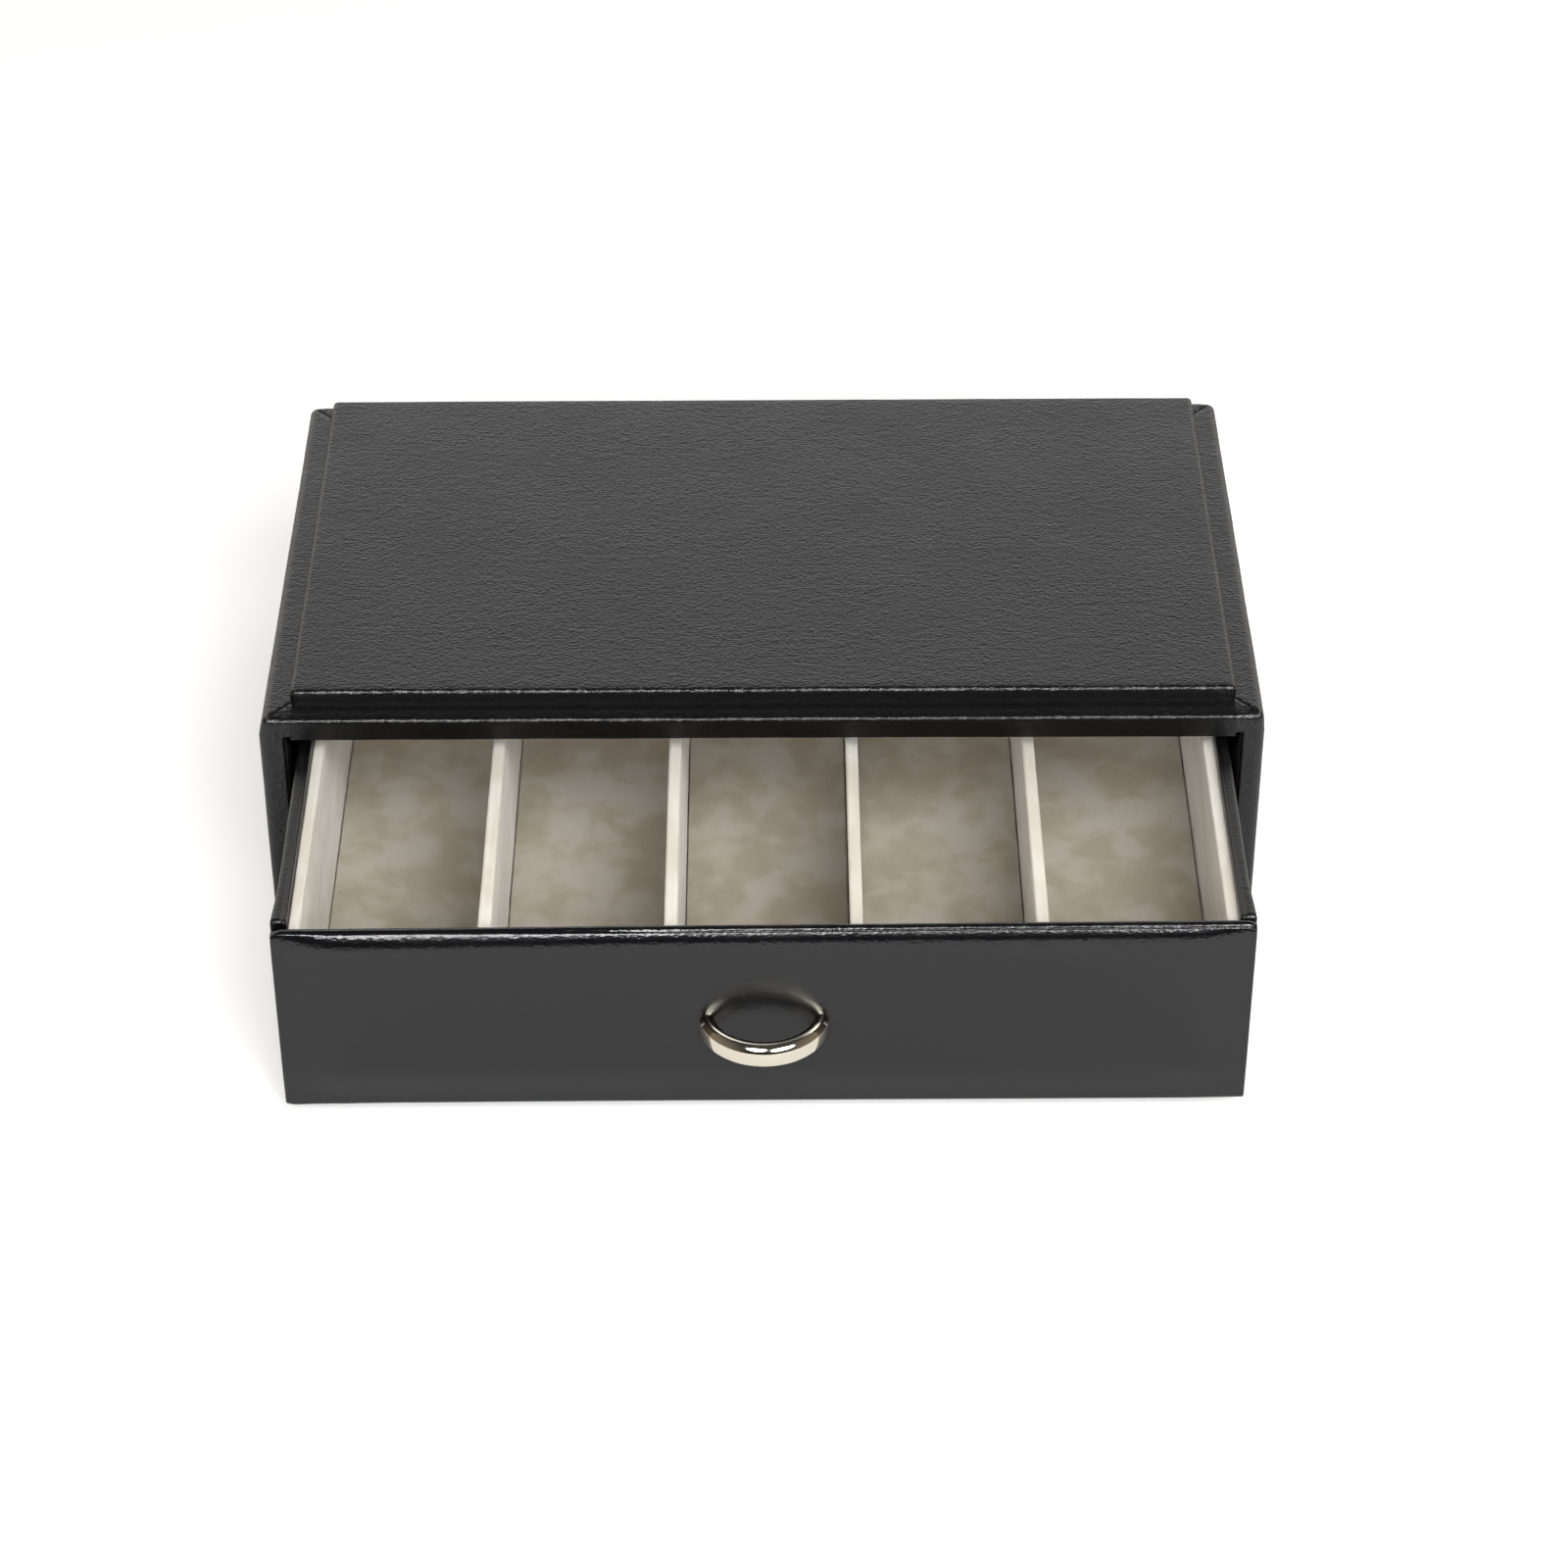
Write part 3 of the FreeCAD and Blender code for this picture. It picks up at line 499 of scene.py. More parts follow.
class SCENE_OT_box_studio(GlassesBoxStep, bpy.types.Operator):
    """Camera, white sweep, softbox and fill lights"""
    bl_idname = "scene.box_studio"
    bl_label = "Studio"

    def execute(self, context):
        scene = context.scene
        scene.view_settings.view_transform = "Standard"
        studio = settings().studio
        self.set_camera(scene, studio)
        self.lay_sweep(studio)
        self.light_room(scene)
        # Soft light: name, place, side lengths, watts. The softboxes show in reflections, and the other
        # lamps light what is matt.
        for name, place, size, power in (
                ("left_softbox", (-0.23, -0.99, 1.13), (0.60, 0.38), 11.5),
                ("right_softbox", (0.58, -0.99, 1.13), (0.84, 0.38), 16.0),
                ("main_light", (0.62, -1.02, 1.35), (1.0, 0.8), 14.5),
                ("centre_light", (0.0, -1.30, 1.20), (0.9, 0.6), 8.5),
                ("front_fill", (0.15, -1.9, 0.95), (2.2, 0.7), 29.0),
                ("top_fill", (0.0, 0.3, 2.0), (2.2, 2.2), 2.0)):
            lamp = bpy.data.lights.new(name, "AREA")
            lamp.shape = "ELLIPSE" if name.endswith("softbox") else "RECTANGLE"
            lamp.size, lamp.size_y = size
            lamp.energy = power
            made = new_object(name, lamp)
            made.location = place
            aim = Vector((0, -0.08, 0.04)) - Vector(place)
            made.rotation_euler = aim.to_track_quat("-Z", "Y").to_euler()
            made.visible_glossy = lamp.shape == "ELLIPSE"
            made.visible_diffuse = not made.visible_glossy
            made.visible_camera = False
        return {"FINISHED"}

    def set_camera(self, scene, studio):
        """A camera with the photograph's view: turned, then rolled about its own axis."""
        lens = bpy.data.cameras.new("camera")
        lens.lens = studio.lens
        lens.sensor_width = 36.0
        lens.clip_end = 20.0
        camera = new_object("camera", lens)
        camera.matrix_world = Matrix.Translation(studio.camera_place)
        for angle, axis in ((-studio.yaw, "Z"), (math.pi / 2 - studio.pitch, "X"), (studio.roll, "Z")):
            camera.matrix_world @= Matrix.Rotation(angle, 4, axis)
        scene.camera = camera

    def lay_sweep(self, studio):
        """Seamless paper: a matt floor that the camera sees as white, ending in front in a dim room."""
        bm = bmesh.new()
        bmesh.ops.create_circle(bm, cap_ends=True, segments=64, radius=4.0)
        mesh = bpy.data.meshes.new("sweep")
        bm.to_mesh(mesh)
        bm.free()
        sweep = new_object("sweep", mesh)
        material, tree, shader = surface(
            "matt_sweep_paper", Roughness=1.0, Specular_IOR_Level=0.0, Base_Color=(*studio.floor, 1),
            Emission_Color=(1, 1, 1, 1))
        rays = add(tree, "LightPath")
        glow = add(tree, "Math", (rays["Is Camera Ray"], 0.42), operation="MULTIPLY")[0]
        tree.links.new(glow, shader.inputs["Emission Strength"])
        place = add(tree, "SeparateXYZ", {"Vector": add(tree, "TexCoord")["Object"]})
        far = add(tree, "MapRange", (place["Y"], -0.55, -0.85))[0]
        unlit = add(tree, "Math", (rays["Is Glossy Ray"], far), operation="MULTIPLY")[0]
        dim = add(tree, "Emission", {"Color": (0.06, 0.06, 0.06, 1)})[0]
        both = add(tree, "MixShader", (unlit, shader.outputs[0], dim))[0]
        tree.links.new(both, tree.nodes["Material Output"].inputs["Surface"])
        mesh.materials.append(material)

    def light_room(self, scene):
        """A white backdrop behind the box that stops above it, and a dim room elsewhere."""
        world = bpy.data.worlds.new("room")
        scene.world = world
        world.use_nodes = True
        tree = world.node_tree
        way = add(tree, "SeparateXYZ", {"Vector": add(tree, "TexCoord")["Generated"]})
        below = add(tree, "MapRange", (way["Z"], 0.60, 0.66, 1.0, 0.0))[0]
        behind = add(tree, "MapRange", (way["Y"], 0.15, 0.5))[0]
        white = add(tree, "Math", (below, behind), operation="MULTIPLY")[0]
        ceiling = add(tree, "MapRange", (way["Z"], 0.6, 1.0, 0.02, 0.06))[0]
        sideways = add(tree, "Math", (way["X"],), operation="ABSOLUTE")[0]
        walls = add(tree, "MapRange", (sideways, 0.4, 0.9))[0]
        wall = ramp(tree, walls, (0.0, "#FFFFFF"), (1.0, "#FFE6C4"))
        around = add(tree, "Math", (walls, 0.2, ceiling), operation="MULTIPLY_ADD")[0]
        level = add(tree, "Mix", {"Factor": white, "A": around, "B": 1.3})[0]
        # The camera sees it equally bright all round
        rays = add(tree, "LightPath")
        seen = add(tree, "Mix", {"Factor": rays["Is Camera Ray"], "A": level, "B": 1.0})[0]
        tree.links.new(seen, tree.nodes["Background"].inputs["Strength"])
        tree.links.new(wall, tree.nodes["Background"].inputs["Color"])


class MESH_OT_box_sides(GlassesBoxStep, bpy.types.Operator):
    """Leather round the two side boards, mitred where it meets the strips along the front and back"""
    bl_idname = "mesh.box_sides"
    bl_label = "Case sides"

    def execute(self, context):
        leather = settings().leather
        self.cover("left_side", leather.left_swell / MM, leather.lip_drop / MM, 3.1, 0.0)
        self.cover("right_side", leather.right_swell / MM, leather.lip_drop / MM, 12.6, 0.15)
        return {"FINISHED"}

    def cover(self, name, swell, drop, seed, lifted):
        """One side, made as the right-hand one. `lifted` is how far its cut edge stands up in front."""
        low, high = node_box("right_side_cover")
        inner, low.x = low.x, SEAM
        bend = 2.6
        groove = 0.3
        under = TOP_LOW.z
        heights = sorted([*rows(low.z, high.z, 2.5, 1.0, 2.2), under - 0.05, under + 0.05])
        bm = gridded_box(rows(low.x, high.x, 1.0, 0, bend), rows(low.y, high.y, 2.5, 2.0, 2.0), heights)
        # Mitres run inwards from the outer corners at 45 degrees
        corners = [(Vector((high.x, low.y, 0)), Vector((-1, -1, 0)).normalized()),
                   (Vector((high.x, high.y, 0)), Vector((-1, 1, 0)).normalized())]
        for corner, across in corners:
            for offset in (-groove, 0.0, groove):
                cut(bm, corner + across * offset, across, lambda face: face.normal.z > 0.9
                    and abs(face.calc_center_median().y - corner.y) < 10)

        def radii(place):
            edge = 1.4 + 0.8 * ease(place.x, inner, high.x)
            return (0, bend), (edge, edge), (0.8, edge)

        def change(flat, place):
            """`flat` is the vertex's place before the edges were rounded."""
            inward = max(0.0, (high.x - bend - flat.x) / (high.x - bend - SEAM))
            x = inward * (inner - SEAM) if flat.z < under else 0.0
            out = ease(place.x, inner, high.x)
            top = ease(high.z - place.z, 0.0, 8.0) * ease(place.z - low.z, 0.0, 3.0)
            x += swell * top * (0.35 + 0.65 * ease(-place.y, -90, 80)) * out
            x += out * (0.10 * ripple(place, 22, seed) + 0.04 * ripple(place, 7, seed + 2))
            front = 1 - ease(place.y, low.y, low.y + 3)
            y = 0.12 * ripple(place, 13, seed + 4) * front * ease(flat.x, SEAM, SEAM + 3)
            near_top = ease(place.z, under + 2, high.z - 1.2)
            z = 0.05 * ripple(place, 12, seed - 1.7) * near_top * ease(flat.x, SEAM, SEAM + 3)
            aside = ease(high.x - flat.x, 0.0, 3.0)
            if (flat.xy - corners[0][0].xy).dot(corners[0][1].xy) > 0.05:
                z -= strip_fall(place.y, drop) * near_top * aside
            for corner, across in corners:
                if flat.z > high.z - 0.01 and abs(flat.y - corner.y) < 10 \
                        and abs((flat.xy - corner.xy).dot(across.xy)) < 0.1:
                    z -= groove * aside
            if flat.x < SEAM + 0.1 and flat.z > under and flat.y < PANEL_LOW.y:
                z += lifted * near_top
                y -= lifted
            return x, y, z

        unrounded = {vert: vert.co.copy() for vert in bm.verts}
        round_off(bm, low, high, radii)
        for vert, flat in unrounded.items():
            vert.co += Vector(change(flat, vert.co))
        drop_faces(bm, lambda middle, normal: (normal.x < -0.9 and middle.z > under)
                   or (middle.y > low.y + 5 and (normal.x < -0.9 or abs(middle.z - under) < 0.1)))
        if name.startswith("left"):
            mirror_left(bm)
        finish_leather(name, bm, "grained", "case")


class MESH_OT_box_top(GlassesBoxStep, bpy.types.Operator):
    """Leather round the top board, with the falling strip in front of the raised panel"""
    bl_idname = "mesh.box_top"
    bl_label = "Case top"

    def execute(self, context):
        drop = settings().leather.lip_drop / MM
        low, high = TOP_LOW.copy(), TOP_HIGH.copy()
        low.x, high.x = -SEAM, SEAM
        bend = 1.4
        depths = [*rows(low.y, low.y + 12, 1.0, bend), *even(low.y + 12, high.y - 6, 12)[1:],
                  *rows(high.y - 6, high.y, 1.5, 0, bend)[1:]]
        bm = gridded_box(even(low.x, high.x, 2.5), depths, rows(low.z, high.z, 1.0, 0.3, bend))
        half = (low.z + high.z) / 2

        def radii(place):
            edge = bend if place.z > half else 0.3
            return (0, 0), (edge, edge), (0.3, bend)

        def change(place):
            within = ease(high.x - abs(place.x), 0, 4)
            near_top = ease(place.z, low.z + 2, high.z - 1.2)
            z = near_top * (0.06 * ripple(place, 14, 8.0) * within - strip_fall(place.y, drop))
            # The turned-under edge sags a little, and more towards the right
            sag = 1.35 + 0.35 * ease(place.x, 0, 140)
            z -= sag * (1 - ease(place.z, low.z, low.z + 3)) * (1 - ease(place.y, low.y + 1, low.y + 3))
            y = 0.10 * ripple(place, 18, 2.0) * (1 - ease(place.y, low.y, low.y + 2)) * within
            return 0, y, z

        round_off(bm, low, high, radii)
        move(bm, change)
        drop_faces(bm, lambda middle, normal: (normal.z < -0.9 and middle.y > low.y + 5)
                   or abs(normal.x) > 0.9)
        # Painted shade: the folded leather's lower gloss darkens the strip and the front face below it
        finish_leather("top", bm, "folded", "case")
        return {"FINISHED"}


class MESH_OT_box_back(GlassesBoxStep, bpy.types.Operator):
    """Leather on the back board and round the bottom board"""
    bl_idname = "mesh.box_back"
    bl_label = "Case back and bottom"

    def execute(self, context):
        bend = 0.9
        low, high = node_box("back_cover")
        bm = rounded_box(low, high, (4.0, 2.0, 4.0), ((0, 0), (0, bend), (bend, bend)))
        move(bm, lambda place: (0, 0.16 * ripple(place, 30, 4.0)
                                * ease(place.y, high.y - 1, high.y), 0))
        drop_faces(bm, lambda middle, normal: normal.y < -0.9 or abs(normal.x) > 0.9)
        finish_leather("back", bm, "grained", "case")
        low, high = node_box("bottom_cover")
        bm = rounded_box(low, high, (6.0, 6.0, 2.0), ((0, 0), (bend, bend), (bend, 0)))
        # In front it is turned over the board, as far as the lining
        drop_faces(bm, lambda middle, normal: (normal.z > 0.9 and middle.y > low.y + 4)
                   or abs(normal.x) > 0.9)
        finish_leather("bottom", bm, "grained", "case")
        return {"FINISHED"}


class MESH_OT_box_panel(GlassesBoxStep, bpy.types.Operator):
    """The raised panel's leather, drawn tight over its thin foam"""
    bl_idname = "mesh.box_panel"
    bl_label = "Raised panel"

    def execute(self, context):
        low, high = PANEL_LOW, PANEL_HIGH
        bend = 1.6
        bm = rounded_box(low, high, (3.0, 3.0, 0.8), ((bend, bend), (bend, bend), (0, bend)))

        def change(place):
            lift = ease(place.z, high.z - 1.0, high.z)
            z = lift * (0.10 * ripple(place, 35, 6.0) + 0.04 * ripple(place, 9, 7.0))
            y = 0.10 * ripple(place, 20, 9.0) * (1 - ease(place.y, low.y, low.y + 2))
            return 0, y, z

        move(bm, change)
        drop_faces(bm, lambda middle, normal: normal.z < -0.9)
        finish_leather("raised_panel", bm, "grained", "case")
        return {"FINISHED"}


# Leather over the drawer front's rim, as bends: radius in mm, the angle that the surface then faces,
# and steps. 90 degrees is up and 0 is forward. On the right a fold parts the rim from the padded
# roll below, and on the left they are one fuller round. A negative radius is hollow.
RIM_START = 150
FOLDED_RIM = ((1.6, 28, 9), (-0.45, 66, 3), (0.9, 45, 3), (5.5, 15, 5), (12.0, 0, 3))
FULL_RIM = ((2.6, 45, 15), (7.5, 15, 5), (8.0, 0, 3))
# The bends are drawn for a padding that stands this far proud, in mm
DRAWN_SWELL = 1.8
# Dimples in the padding, in mm: how far the handle's ends lie from the middle and above its foot, and
# the dimples' depth and reach
HANDLE_END, END_HEIGHT, DIMPLE_DEPTH, DIMPLE_REACH = 17.8, 2.6, 0.7, 4.2


def bent(y, z, angle, bends):
    """Places along a run of bends, the start included."""
    places = [(y, z)]
    for radius, target, count in bends:
        for index in range(count):
            first, last = (math.radians(angle + (target - angle) * turn / count)
                           for turn in (index, index + 1))
            y -= radius * (math.cos(last) - math.cos(first))
            z += radius * (math.sin(last) - math.sin(first))
            places.append((y, z))
        angle = target
    return places


def along(table, at, column):
    """A column of a table of rows, at a place between its rows."""
    for first, second in zip(table, table[1:]):
        if at <= second[0]:
            share = (at - first[0]) / (second[0] - first[0])
            return first[column] + (second[column] - first[column]) * share
    return table[-1][column]


class MESH_OT_box_drawer_front(GlassesBoxStep, bpy.types.Operator):
    """Leather over the foam of the drawer front, dimpled where the handle pulls it in"""
    bl_idname = "mesh.box_drawer_front"
    bl_label = "Drawer front"

    def execute(self, context):
        low, high = node_box("drawer_front_cover")
        swell = settings().leather.front_swell / MM
        thick = high.y - low.y
        tall = high.z - low.z
        ends = [(side * HANDLE_END, HANDLE_LOW.z + END_HEIGHT) for side in (-1, 1)]
        back = (high.y, high.z - 3.0)
        folded = [back, *bent(low.y + 3.32, high.z - 1.13, RIM_START, FOLDED_RIM)]
        full = [back, *bent(low.y + 3.57, high.z - 1.5, RIM_START, FULL_RIM)]
        # The first rows lie on the box's upper face, and the others a millimetre apart on its front
        turn = 12
        deep = len(folded) - 1 - turn
        fine = (0.1, 0.25, 0.5, 0.8, 1.2, 1.8, 2.6, 3.5)
        widths = [low.x, *[low.x + step for step in fine], *even(low.x + 5, high.x - 5, 1.6),
                  *[high.x - step for step in reversed(fine)], high.x]
        depths = [low.y + thick * index / turn for index in range(turn + 1)]
        heights = [low.z, *[low.z + step for step in fine[1:6]],
                   *even(low.z + 3, high.z - deep - 1.5, 2.0),
                   *[high.z - deep + index for index in range(deep + 1)]]
        bm = gridded_box(widths, depths, heights)
        # Each end becomes one flat face, which the folded rim can't twist
        for side in (-1, 1):
            end = [face for face in bm.faces if face.normal.x * side > 0.9]
            bmesh.ops.dissolve_faces(bm, faces=end)

        def change(place):
            below = high.z - place.z
            side = min(place.x - low.x, high.x - place.x)
            on_top = below < 1e-4
            share = (high.y - place.y) / thick
            row = round(share * turn) if on_top else min(turn + round(below), turn + deep)
            fold = ease(place.x, -120, -10)
            out, level = (there * fold + here * (1 - fold)
                          for there, here in zip(folded[row], full[row]))
            out, level = low.y - out, high.z - level
            if below > deep:
                level += (below - deep) * (tall - level) / (tall - deep)
            foot = place.z - low.z
            if out > 0:
                # The padding gets flatter towards its ends and its foot
                out *= ((0.35 + 0.65 * ease(side, 0.5, 20.0)) * (0.3 + 0.7 * ease(foot, 0.5, 14.0))
                        * swell / DRAWN_SWELL)
            for x, z in ends:
                away = math.hypot(place.x - x, place.z - z)
                out -= DIMPLE_DEPTH * math.exp(-(away / DIMPLE_REACH) ** 2)
            out += 0.05 * ripple(place, 24, 2.2)
            out += 0.03 * ripple(place, 6, 4.4) * (1 - ease(below, 3, 9))
            out -= share * set_back(side, 0.8) + set_back(foot, 1.2)
            # The rim comes down at its two ends, and all of it hangs lower towards the right
            level += 1.1 * max(0.0, 1 - side / 3.5) ** 2 * (1 - ease(below, 0.0, 6.0))
            level -= (0.2 + 0.7 * place.x / high.x) * (1 - ease(below, 0.0, 30.0))
            z = below - level + 0.04 * ripple((place.x, 0, 0), 9, 1.0) * (1 - ease(below, 0.5, 4.0))
            left = place.x - low.x
            # Its lower left corner hangs, less at the back, which clears the case's lining when shut
            hang = 1.4 * share ** 2 * math.exp(-left / 11.0)
            z -= hang * (1 - ease(foot, 0.0, 16.0)) * ease(left, -2, 4)
            if on_top:
                return 0, low.y - out - place.y, z
            behind = -3.0 * (1 - ease(below, 0.0, 12.0))
            return 0, -share * out, share * z + (1 - share) * behind

        move(bm, change)
        drop_faces(bm, lambda middle, normal: normal.y > 0.9 and middle.z < high.z - 7)
        made = finish_leather("drawer_front", bm, "stretched", "drawer", levels=1)
        # Its tight folds are thinner, so that the inner side doesn't come through the outer one
        made.modifiers["Thickness"].thickness_clamp = 2
        self.core(back[1] - 2.4)
        return {"FINISHED"}

    def core(self, top):
        """The board inside, lower than the CAD one, under the leather's rounded rim."""
        low, high = node_box("drawer_front_board")
        bm = gridded_box(even(low.x, high.x, 20), even(low.y, high.y, 1.0), even(low.z, top, 10))
        finish_piece("drawer_front_core", bm, fibreboard(), "drawer", ["drawer_front_board"])


# Rim of a drawer wall, in mm: how far in from its outer face, and how far below the rim. Outside lies
# the turned leather, and beyond a groove the edge of the inner lining stands up as a bead.
WALL_RIM = ((0.0, 0.60), (0.12, 0.32), (0.35, 0.12), (0.9, 0.02), (1.6, 0.0), (2.3, 0.04), (2.6, 0.2),
            (2.8, 0.62), (3.05, 0.3), (3.35, 0.16), (3.65, 0.4), (3.95, 1.1))


class MESH_OT_box_drawer_walls(GlassesBoxStep, bpy.types.Operator):
    """Leather over the rims of the drawer's side and back walls"""
    bl_idname = "mesh.box_drawer_walls"
    bl_label = "Drawer walls"

    def execute(self, context):
        for name, seed in (("drawer_left", 5.0), ("drawer_right", 7.0)):
            self.side_wall(name, seed)
        low, high = node_box("drawer_back_cover")
        bend = 1.5
        bm = rounded_box(low, high, (4.0, 1.0, 5.0), ((0, 0), (bend, bend), (0, bend)))
        move(bm, lambda place: (0, 0.12 * ripple(place, 18, 3.0), 0))
        drop_faces(bm, lambda middle, normal: normal.z < -0.9)
        finish_leather("drawer_back", bm, "turned", "drawer")
        return {"FINISHED"}

    def side_wall(self, name, seed):
        """One side wall, made as the right-hand one. Its outer leather flares out to meet the front."""
        low, high = node_box("drawer_right_cover")
        outer = low.x + WALL_RIM[-1][0]
        widths = [outer - row[0] for row in reversed(WALL_RIM)]
        heights = [*even(low.z, high.z - 6, 5.0), *even(high.z - 6, high.z, 1.2)[1:]]
        bm = gridded_box(widths, even(low.y, high.y, 2.0), heights)

        def change(place):
            out = (place.x - low.x) / (outer - low.x)
            flare = (high.x + 0.2 - outer) * ease(-place.y, -low.y - 18, -low.y)
            wave = 0.10 * ripple(place, 16, seed) + 0.05 * ripple(place, 5, seed + 3)
            z = -along(WALL_RIM, outer - place.x, 1) * ease(place.z, high.z - 1.0, high.z)
            z += 0.12 * ripple(place, 20, seed + 4) * ease(place.z, high.z - 4, high.z)
            return flare * out + wave * (0.3 + 0.7 * out), 0, z

        move(bm, change)
        drop_faces(bm, lambda middle, normal: normal.z < -0.9)
        if name.endswith("left"):
            mirror_left(bm)
        finish_leather(name, bm, "turned", "drawer")


def lean(x):
    """How far to the right, in mm, the foot of what stands at `x` in the drawer lies of its top."""
    return 1.6 * ease(x, -80, 30)


def lined_slab(low, high, along_axis):
    """A card slab covered in velour: soft crisp top edges and creases along its length."""
    velour_set = settings().velour
    edge = min(velour_set.edge / MM, 0.45 * min(high.x - low.x, high.y - low.y))
    crease = velour_set.crease / MM
    across = X if along_axis == Y else Y
    steps = [1.2 if axis == across else 3.0 for axis in (X, Y)]
    bends = [(edge, edge) if axis == across else (0, 0) for axis in (X, Y)]
    bm = gridded_box(*[rows(low[axis], high[axis], steps[axis], *bends[axis]) for axis in (X, Y)],
                     even(low.z, high.z - 8, 3.0) + rows(high.z - 8, high.z, 1.2, 0, edge)[1:])
    round_off(bm, low, high, lambda place: (*bends, (0, edge)))
    middle = (low[across] + high[across]) / 2
    seed = (low[across] * 0.37) % 11

    def change(place):
        outward = 1 if place[across] > middle else -1
        stretch = place.copy()
        stretch[along_axis] *= 0.06
        top = ease(place.z, high.z - 3, high.z)
        shift = [0.0, 0.0, 0.0]
        shift[across] = outward * (crease * ripple(stretch, 2.2, seed) - 0.05
                                   + 0.10 * ripple(place, 20, seed + 3)) * (0.4 + 0.6 * (1 - top))
        shift[Z] = 0.10 * top * ripple(place, 15, seed + 5)
        if along_axis == Y:
            within = ease(140.0 - abs(place.x), 0.0, 2.0)
            shift[X] += within * lean(place.x) * (high.z - place.z) / (high.z - low.z)
        return shift

    move(bm, change)
    return bm


# The left and right pads are thinner than in the CAD model by this, in mm
SLIMMER = 1.4
# Wall pads: the way that each runs, and how far its low and its high side in X and its top lie from the
# CAD model, in mm. The front pad ends below the drawer front's rim, out of sight from the front.
WALL_PADS = {"left_pad": (Y, 0.0, -SLIMMER, 0.0), "right_pad": (Y, SLIMMER, 0.5, 0.0),
             "front_pad": (X, -SLIMMER, SLIMMER, -2.0), "back_pad": (X, -SLIMMER, SLIMMER, 0.0)}
# The dividers stand this deep in slots of the front pad, in mm
SLOT_DEPTH = 2.8


class MESH_OT_box_pads(GlassesBoxStep, bpy.types.Operator):
    """The velour pads along the drawer's walls"""
    bl_idname = "mesh.box_pads"
    bl_label = "Wall pads"

    def execute(self, context):
        for name, (axis, left, right, top) in WALL_PADS.items():
            low, high = node_box(name)
            low.x += left
            high += Vector((right, 0, top))
            made = finish_velour(name, lined_slab(low, high, axis), "cream_velour")
        return {"FINISHED"}


class MESH_OT_box_dividers(GlassesBoxStep, bpy.types.Operator):
    """The four velour-covered dividers"""
    bl_idname = "mesh.box_dividers"
    bl_label = "Dividers"

    def execute(self, context):
        for number in range(1, 5):
            low, high = node_box(f"divider_{number}")
            low.y -= SLOT_DEPTH
            finish_velour(f"divider_{number}", lined_slab(low, high, Y), "cream_velour")
        return {"FINISHED"}


# Cloth of the floor pads: size of the remesh in mm, air pressure and frames
REMESH, PRESSURE, FRAMES = 3, 4, 20


class MESH_OT_box_floor_pads(GlassesBoxStep, bpy.types.Operator):
    """The velour pad on the floor of each bay"""
    bl_idname = "mesh.box_floor_pads"
    bl_label = "Floor pads"

    def execute(self, context):
        plump = settings().velour.plumpness / MM
        for number in range(1, 6):
            low, high = node_box(f"floor_pad_{number}")
            # The feet of the dividers and pads beside it lie off their CAD places
            low.x += 0.8 * lean(low.x) - (SLIMMER if number == 1 else 0)
            high.x += 0.8 * lean(high.x) + (SLIMMER if number == 5 else 0)
            # It starts lower, to leave room for its swelling
            high.z -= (0.6 * plump)
            bend = 0.7
            bm = rounded_box(low, high, (2.5, 3.0, 2.5), ((bend, bend), (bend, bend), (0, bend)))
            swelling = self.swelling(bm, plump)

            def change(place):
                height = ease(place.z, low.z, high.z)
                return 0, 0, height * (0.15 * ripple(place, 14, number * 3.0) + swelling(place))

            move(bm, change)
            made = finish_velour(f"floor_pad_{number}", bm, "taupe_velour")
        return {"FINISHED"}

    def swelling(self, bm, cap):
        """How far up the pad's velour goes at a place, found by blowing the pad up as cloth."""
        scene = bpy.context.scene
        shape = bpy.data.meshes.new("pad_start")
        bm.to_mesh(shape)
        shape.transform(Matrix.Scale(MM, 4))
        pad = new_object("pad_start", shape)
        remesh = pad.modifiers.new("Remesh", "REMESH")
        remesh.mode = "VOXEL"
        remesh.voxel_size = REMESH * MM
        graph = bpy.context.evaluated_depsgraph_get()
        even_mesh = bpy.data.meshes.new_from_object(pad.evaluated_get(graph))
        pad.modifiers.clear()
        pad.data = even_mesh
        cloth = pad.modifiers.new("Cloth", "CLOTH")
        cloth.settings.use_pressure = True
        cloth.settings.uniform_pressure_force = PRESSURE
        cloth.settings.effector_weights.gravity = 0
        cloth.point_cache.frame_start, cloth.point_cache.frame_end = 1, FRAMES
        for step in range(1, FRAMES + 1):
            scene.frame_set(step)
        graph = bpy.context.evaluated_depsgraph_get()
        blown = [vert.co / MM for vert in pad.evaluated_get(graph).data.vertices]
        scene.frame_set(1)
        start = [vert.co / MM for vert in even_mesh.vertices]
        bpy.data.objects.remove(pad)
        for spare in (shape, even_mesh):
            bpy.data.meshes.remove(spare)
        near = kdtree.KDTree(len(start))
        for index, place in enumerate(start):
            near.insert(place, index)
        near.balance()

        def found(place):
            shares = [(1 / (0.5 + away), min(cap, max(-0.3, blown[index].z - start[index].z)))
                      for _, index, away in near.find_n(place, 6)]
            return sum(share * up for share, up in shares) / sum(share for share, _ in shares)

        return found


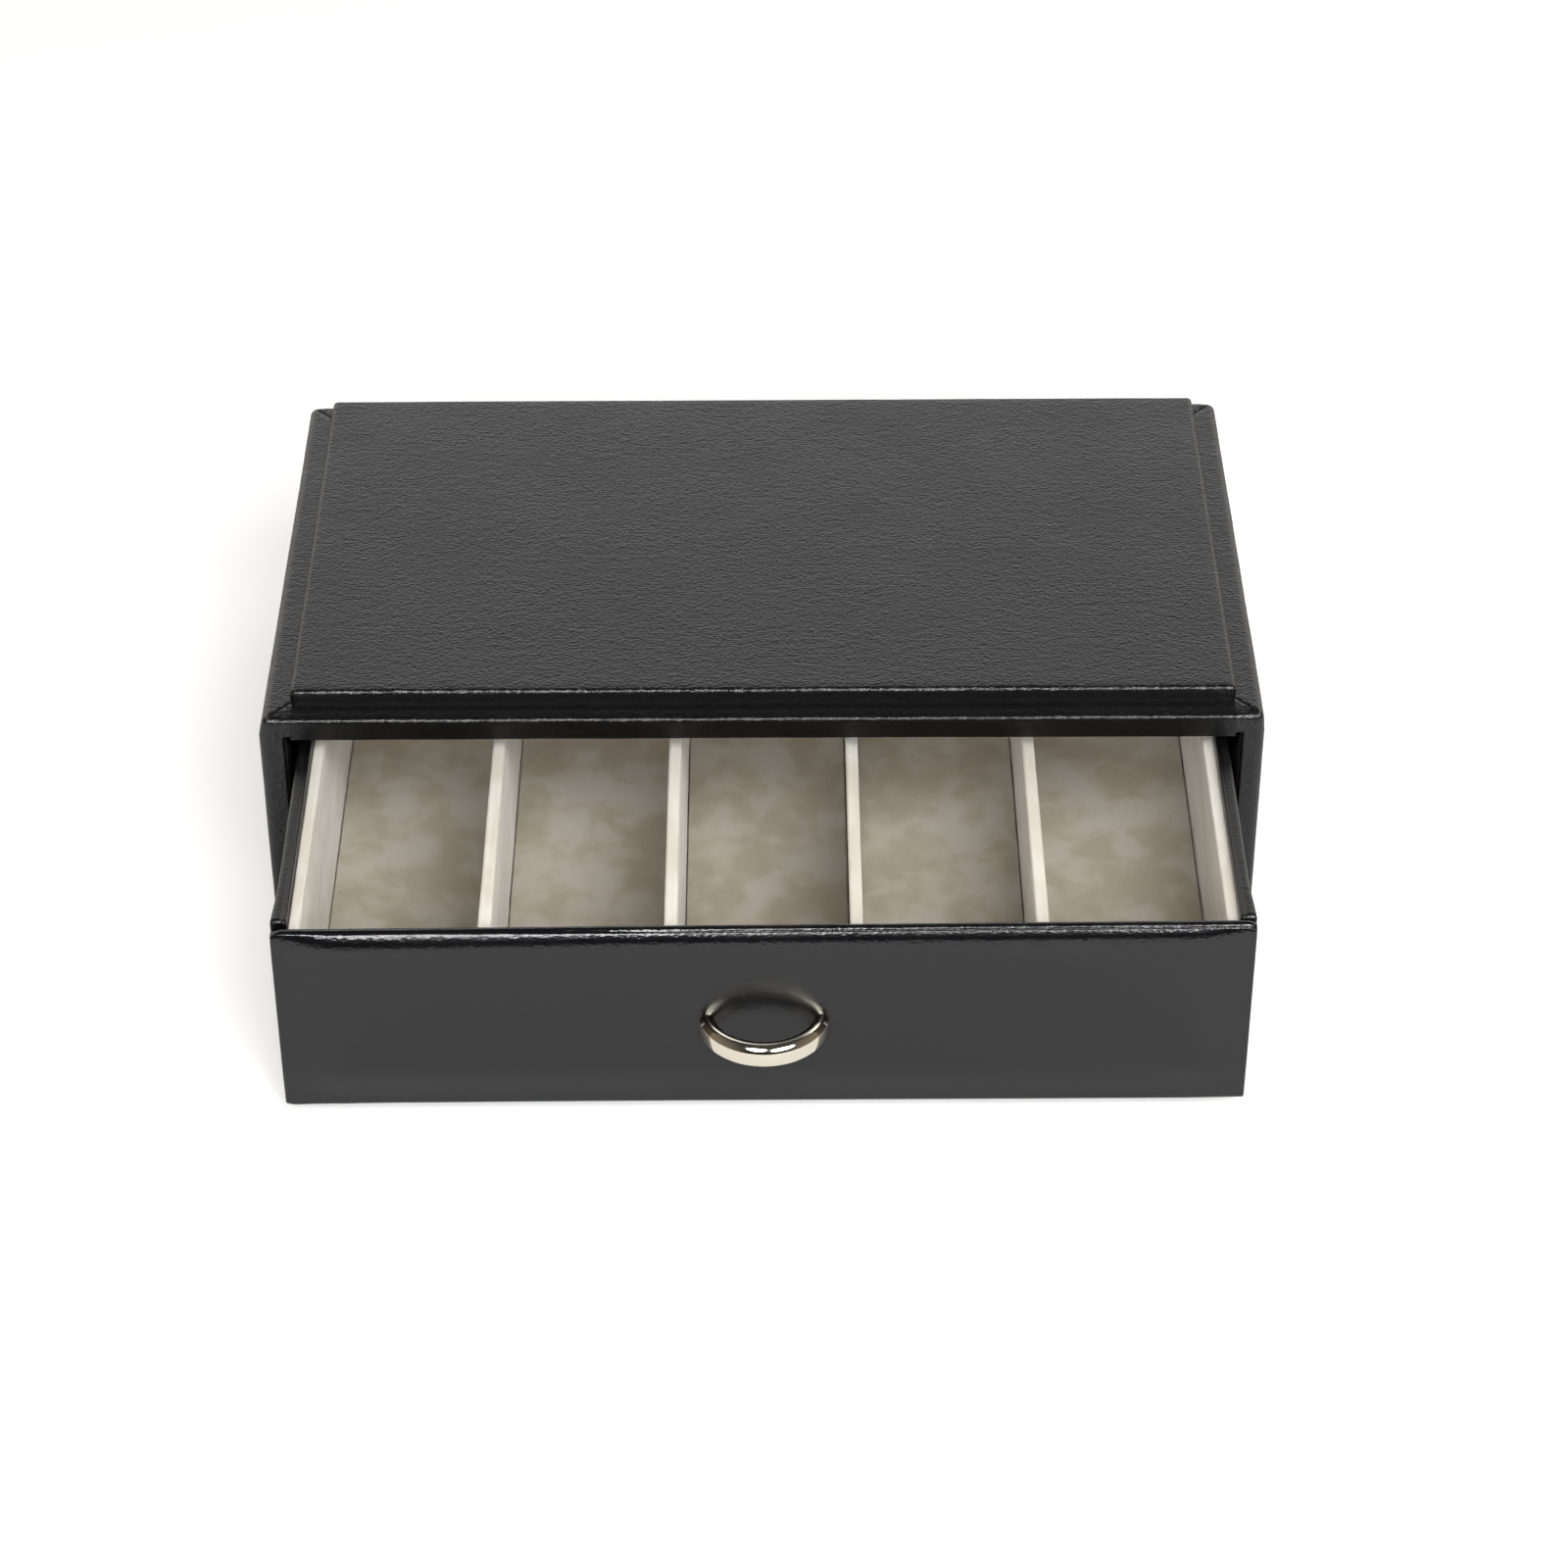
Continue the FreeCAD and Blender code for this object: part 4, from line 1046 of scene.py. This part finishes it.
class MESH_OT_box_handle(GlassesBoxStep, bpy.types.Operator):
    """The half-ring handle: a flat polished band outside and a dome towards the drawer"""
    bl_idname = "mesh.box_handle"
    bl_label = "Handle"

    def execute(self, context):
        low, high = HANDLE_LOW, HANDLE_HIGH
        radius = (high.x - low.x) / 2
        band = settings().handle.band / MM
        # Section: distance in from the outer face, and height above the band's foot
        section = [(0.35, 0.0), (0.1, 0.1), (0.0, 0.35), (0.0, band / 2), (0.0, band - 0.1),
                   (0.05, band + 0.03)]
        # Then it bends over and down on the inner side: angles, radius and steps
        for first, last, bend, count in ((35, 51, 6.2, 4), (51, 180, 2.5, 14)):
            inward, height = section[-1]
            for index in range(1, count + 1):
                turn = math.radians(first + (last - first) * index / count)
                section.append((inward + bend * (math.cos(math.radians(first)) - math.cos(turn)),
                                height + bend * (math.sin(turn) - math.sin(math.radians(first)))))
        # Its inner foot is a quarter round
        width = section[-1][0]
        foot = 1.9
        for index in range(7):
            turn = math.radians(90 * index / 6)
            section.append((width - foot * (1 - math.cos(turn)), foot * (1 - math.sin(turn))))
        bm = bmesh.new()
        corners = [bm.verts.new((radius - inward, 0, height)) for inward, height in section]
        rim = [bm.edges.new((corners[i], corners[(i + 1) % len(corners)])) for i in range(len(corners))]
        bmesh.ops.spin(bm, geom=[*corners, *rim], cent=(0, 0, 0), axis=(0, 0, 1), angle=-math.pi,
                       steps=96, use_merge=False, use_duplicate=False)
        ends = [edge for edge in bm.edges if edge.is_boundary]
        bmesh.ops.holes_fill(bm, edges=ends, sides=0)

        def slim(place):
            """The band gets narrower towards its two ends, which reach into the padding."""
            out = math.hypot(place.x, place.y)
            share = 1 - 0.15 * (1 - abs(place.y) / max(out, 1e-6))
            wanted = radius - (radius - out) * share
            deeper = 0.8 if abs(place.y) < 1e-4 else 0.0
            return place.x * (wanted / out - 1), place.y * (wanted / out - 1) + deeper, 0

        move(bm, slim)
        bmesh.ops.translate(bm, vec=((low.x + high.x) / 2, high.y, low.z + 0.3), verts=bm.verts)
        bmesh.ops.recalc_face_normals(bm, faces=bm.faces)
        finish_piece("half_ring_handle", bm, polished_nickel(settings().handle),
                     "drawer", ["pull_handle"])
        return {"FINISHED"}


class OBJECT_OT_box_inner_parts(GlassesBoxStep, bpy.types.Operator):
    """Materials for the boards, foams, cloths, screws and washers that keep their CAD shape"""
    bl_idname = "object.box_inner_parts"
    bl_label = "Inner parts"

    def execute(self, context):
        finishes = {("_board",): fibreboard(), ("_foam",): foam(), ("_lining", "_sheet"): book_cloth(),
                    ("_screws", "_washers"): zinc_plate()}
        for name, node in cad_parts.items():
            if node.hide_render:
                continue
            found = [finish for endings, finish in finishes.items() if name.endswith(endings)]
            if not found:
                raise RuntimeError(f"no finish for {name}")
            node.data.materials.clear()
            node.data.materials.append(found[0])
        return {"FINISHED"}


STEPS = (SCENE_OT_box_studio, MESH_OT_box_sides, MESH_OT_box_top, MESH_OT_box_back, MESH_OT_box_panel,
         MESH_OT_box_drawer_front, MESH_OT_box_drawer_walls, MESH_OT_box_pads, MESH_OT_box_dividers,
         MESH_OT_box_floor_pads, MESH_OT_box_handle, OBJECT_OT_box_inner_parts)


class VIEW3D_PT_glasses_box(bpy.types.Panel):
    """Settings and steps of the glasses box"""
    bl_label = "Glasses box"
    bl_space_type = "VIEW_3D"
    bl_region_type = "UI"
    bl_category = "Box"

    def draw(self, context):
        box = settings()
        for group in (box.leather, box.velour, box.handle, box.studio):
            part = self.layout.box()
            for key in group.bl_rna.properties.keys():
                if key not in {"rna_type", "name"}:
                    part.prop(group, key)
        for step in STEPS:
            self.layout.operator(step.bl_idname)


CLASSES = (LeatherSettings, VelourSettings, HandleSettings, StudioSettings, BoxSettings, *STEPS,
           VIEW3D_PT_glasses_box)


def register():
    for each in CLASSES:
        bpy.utils.register_class(each)
    bpy.types.Scene.glasses_box = bpy.props.PointerProperty(type=BoxSettings)


def unregister():
    del bpy.types.Scene.glasses_box
    for each in reversed(CLASSES):
        bpy.utils.unregister_class(each)


def main():
    register()
    for step in STEPS:
        group, name = step.bl_idname.split(".")
        getattr(getattr(bpy.ops, group), name)()


if __name__ == "__main__":
    main()
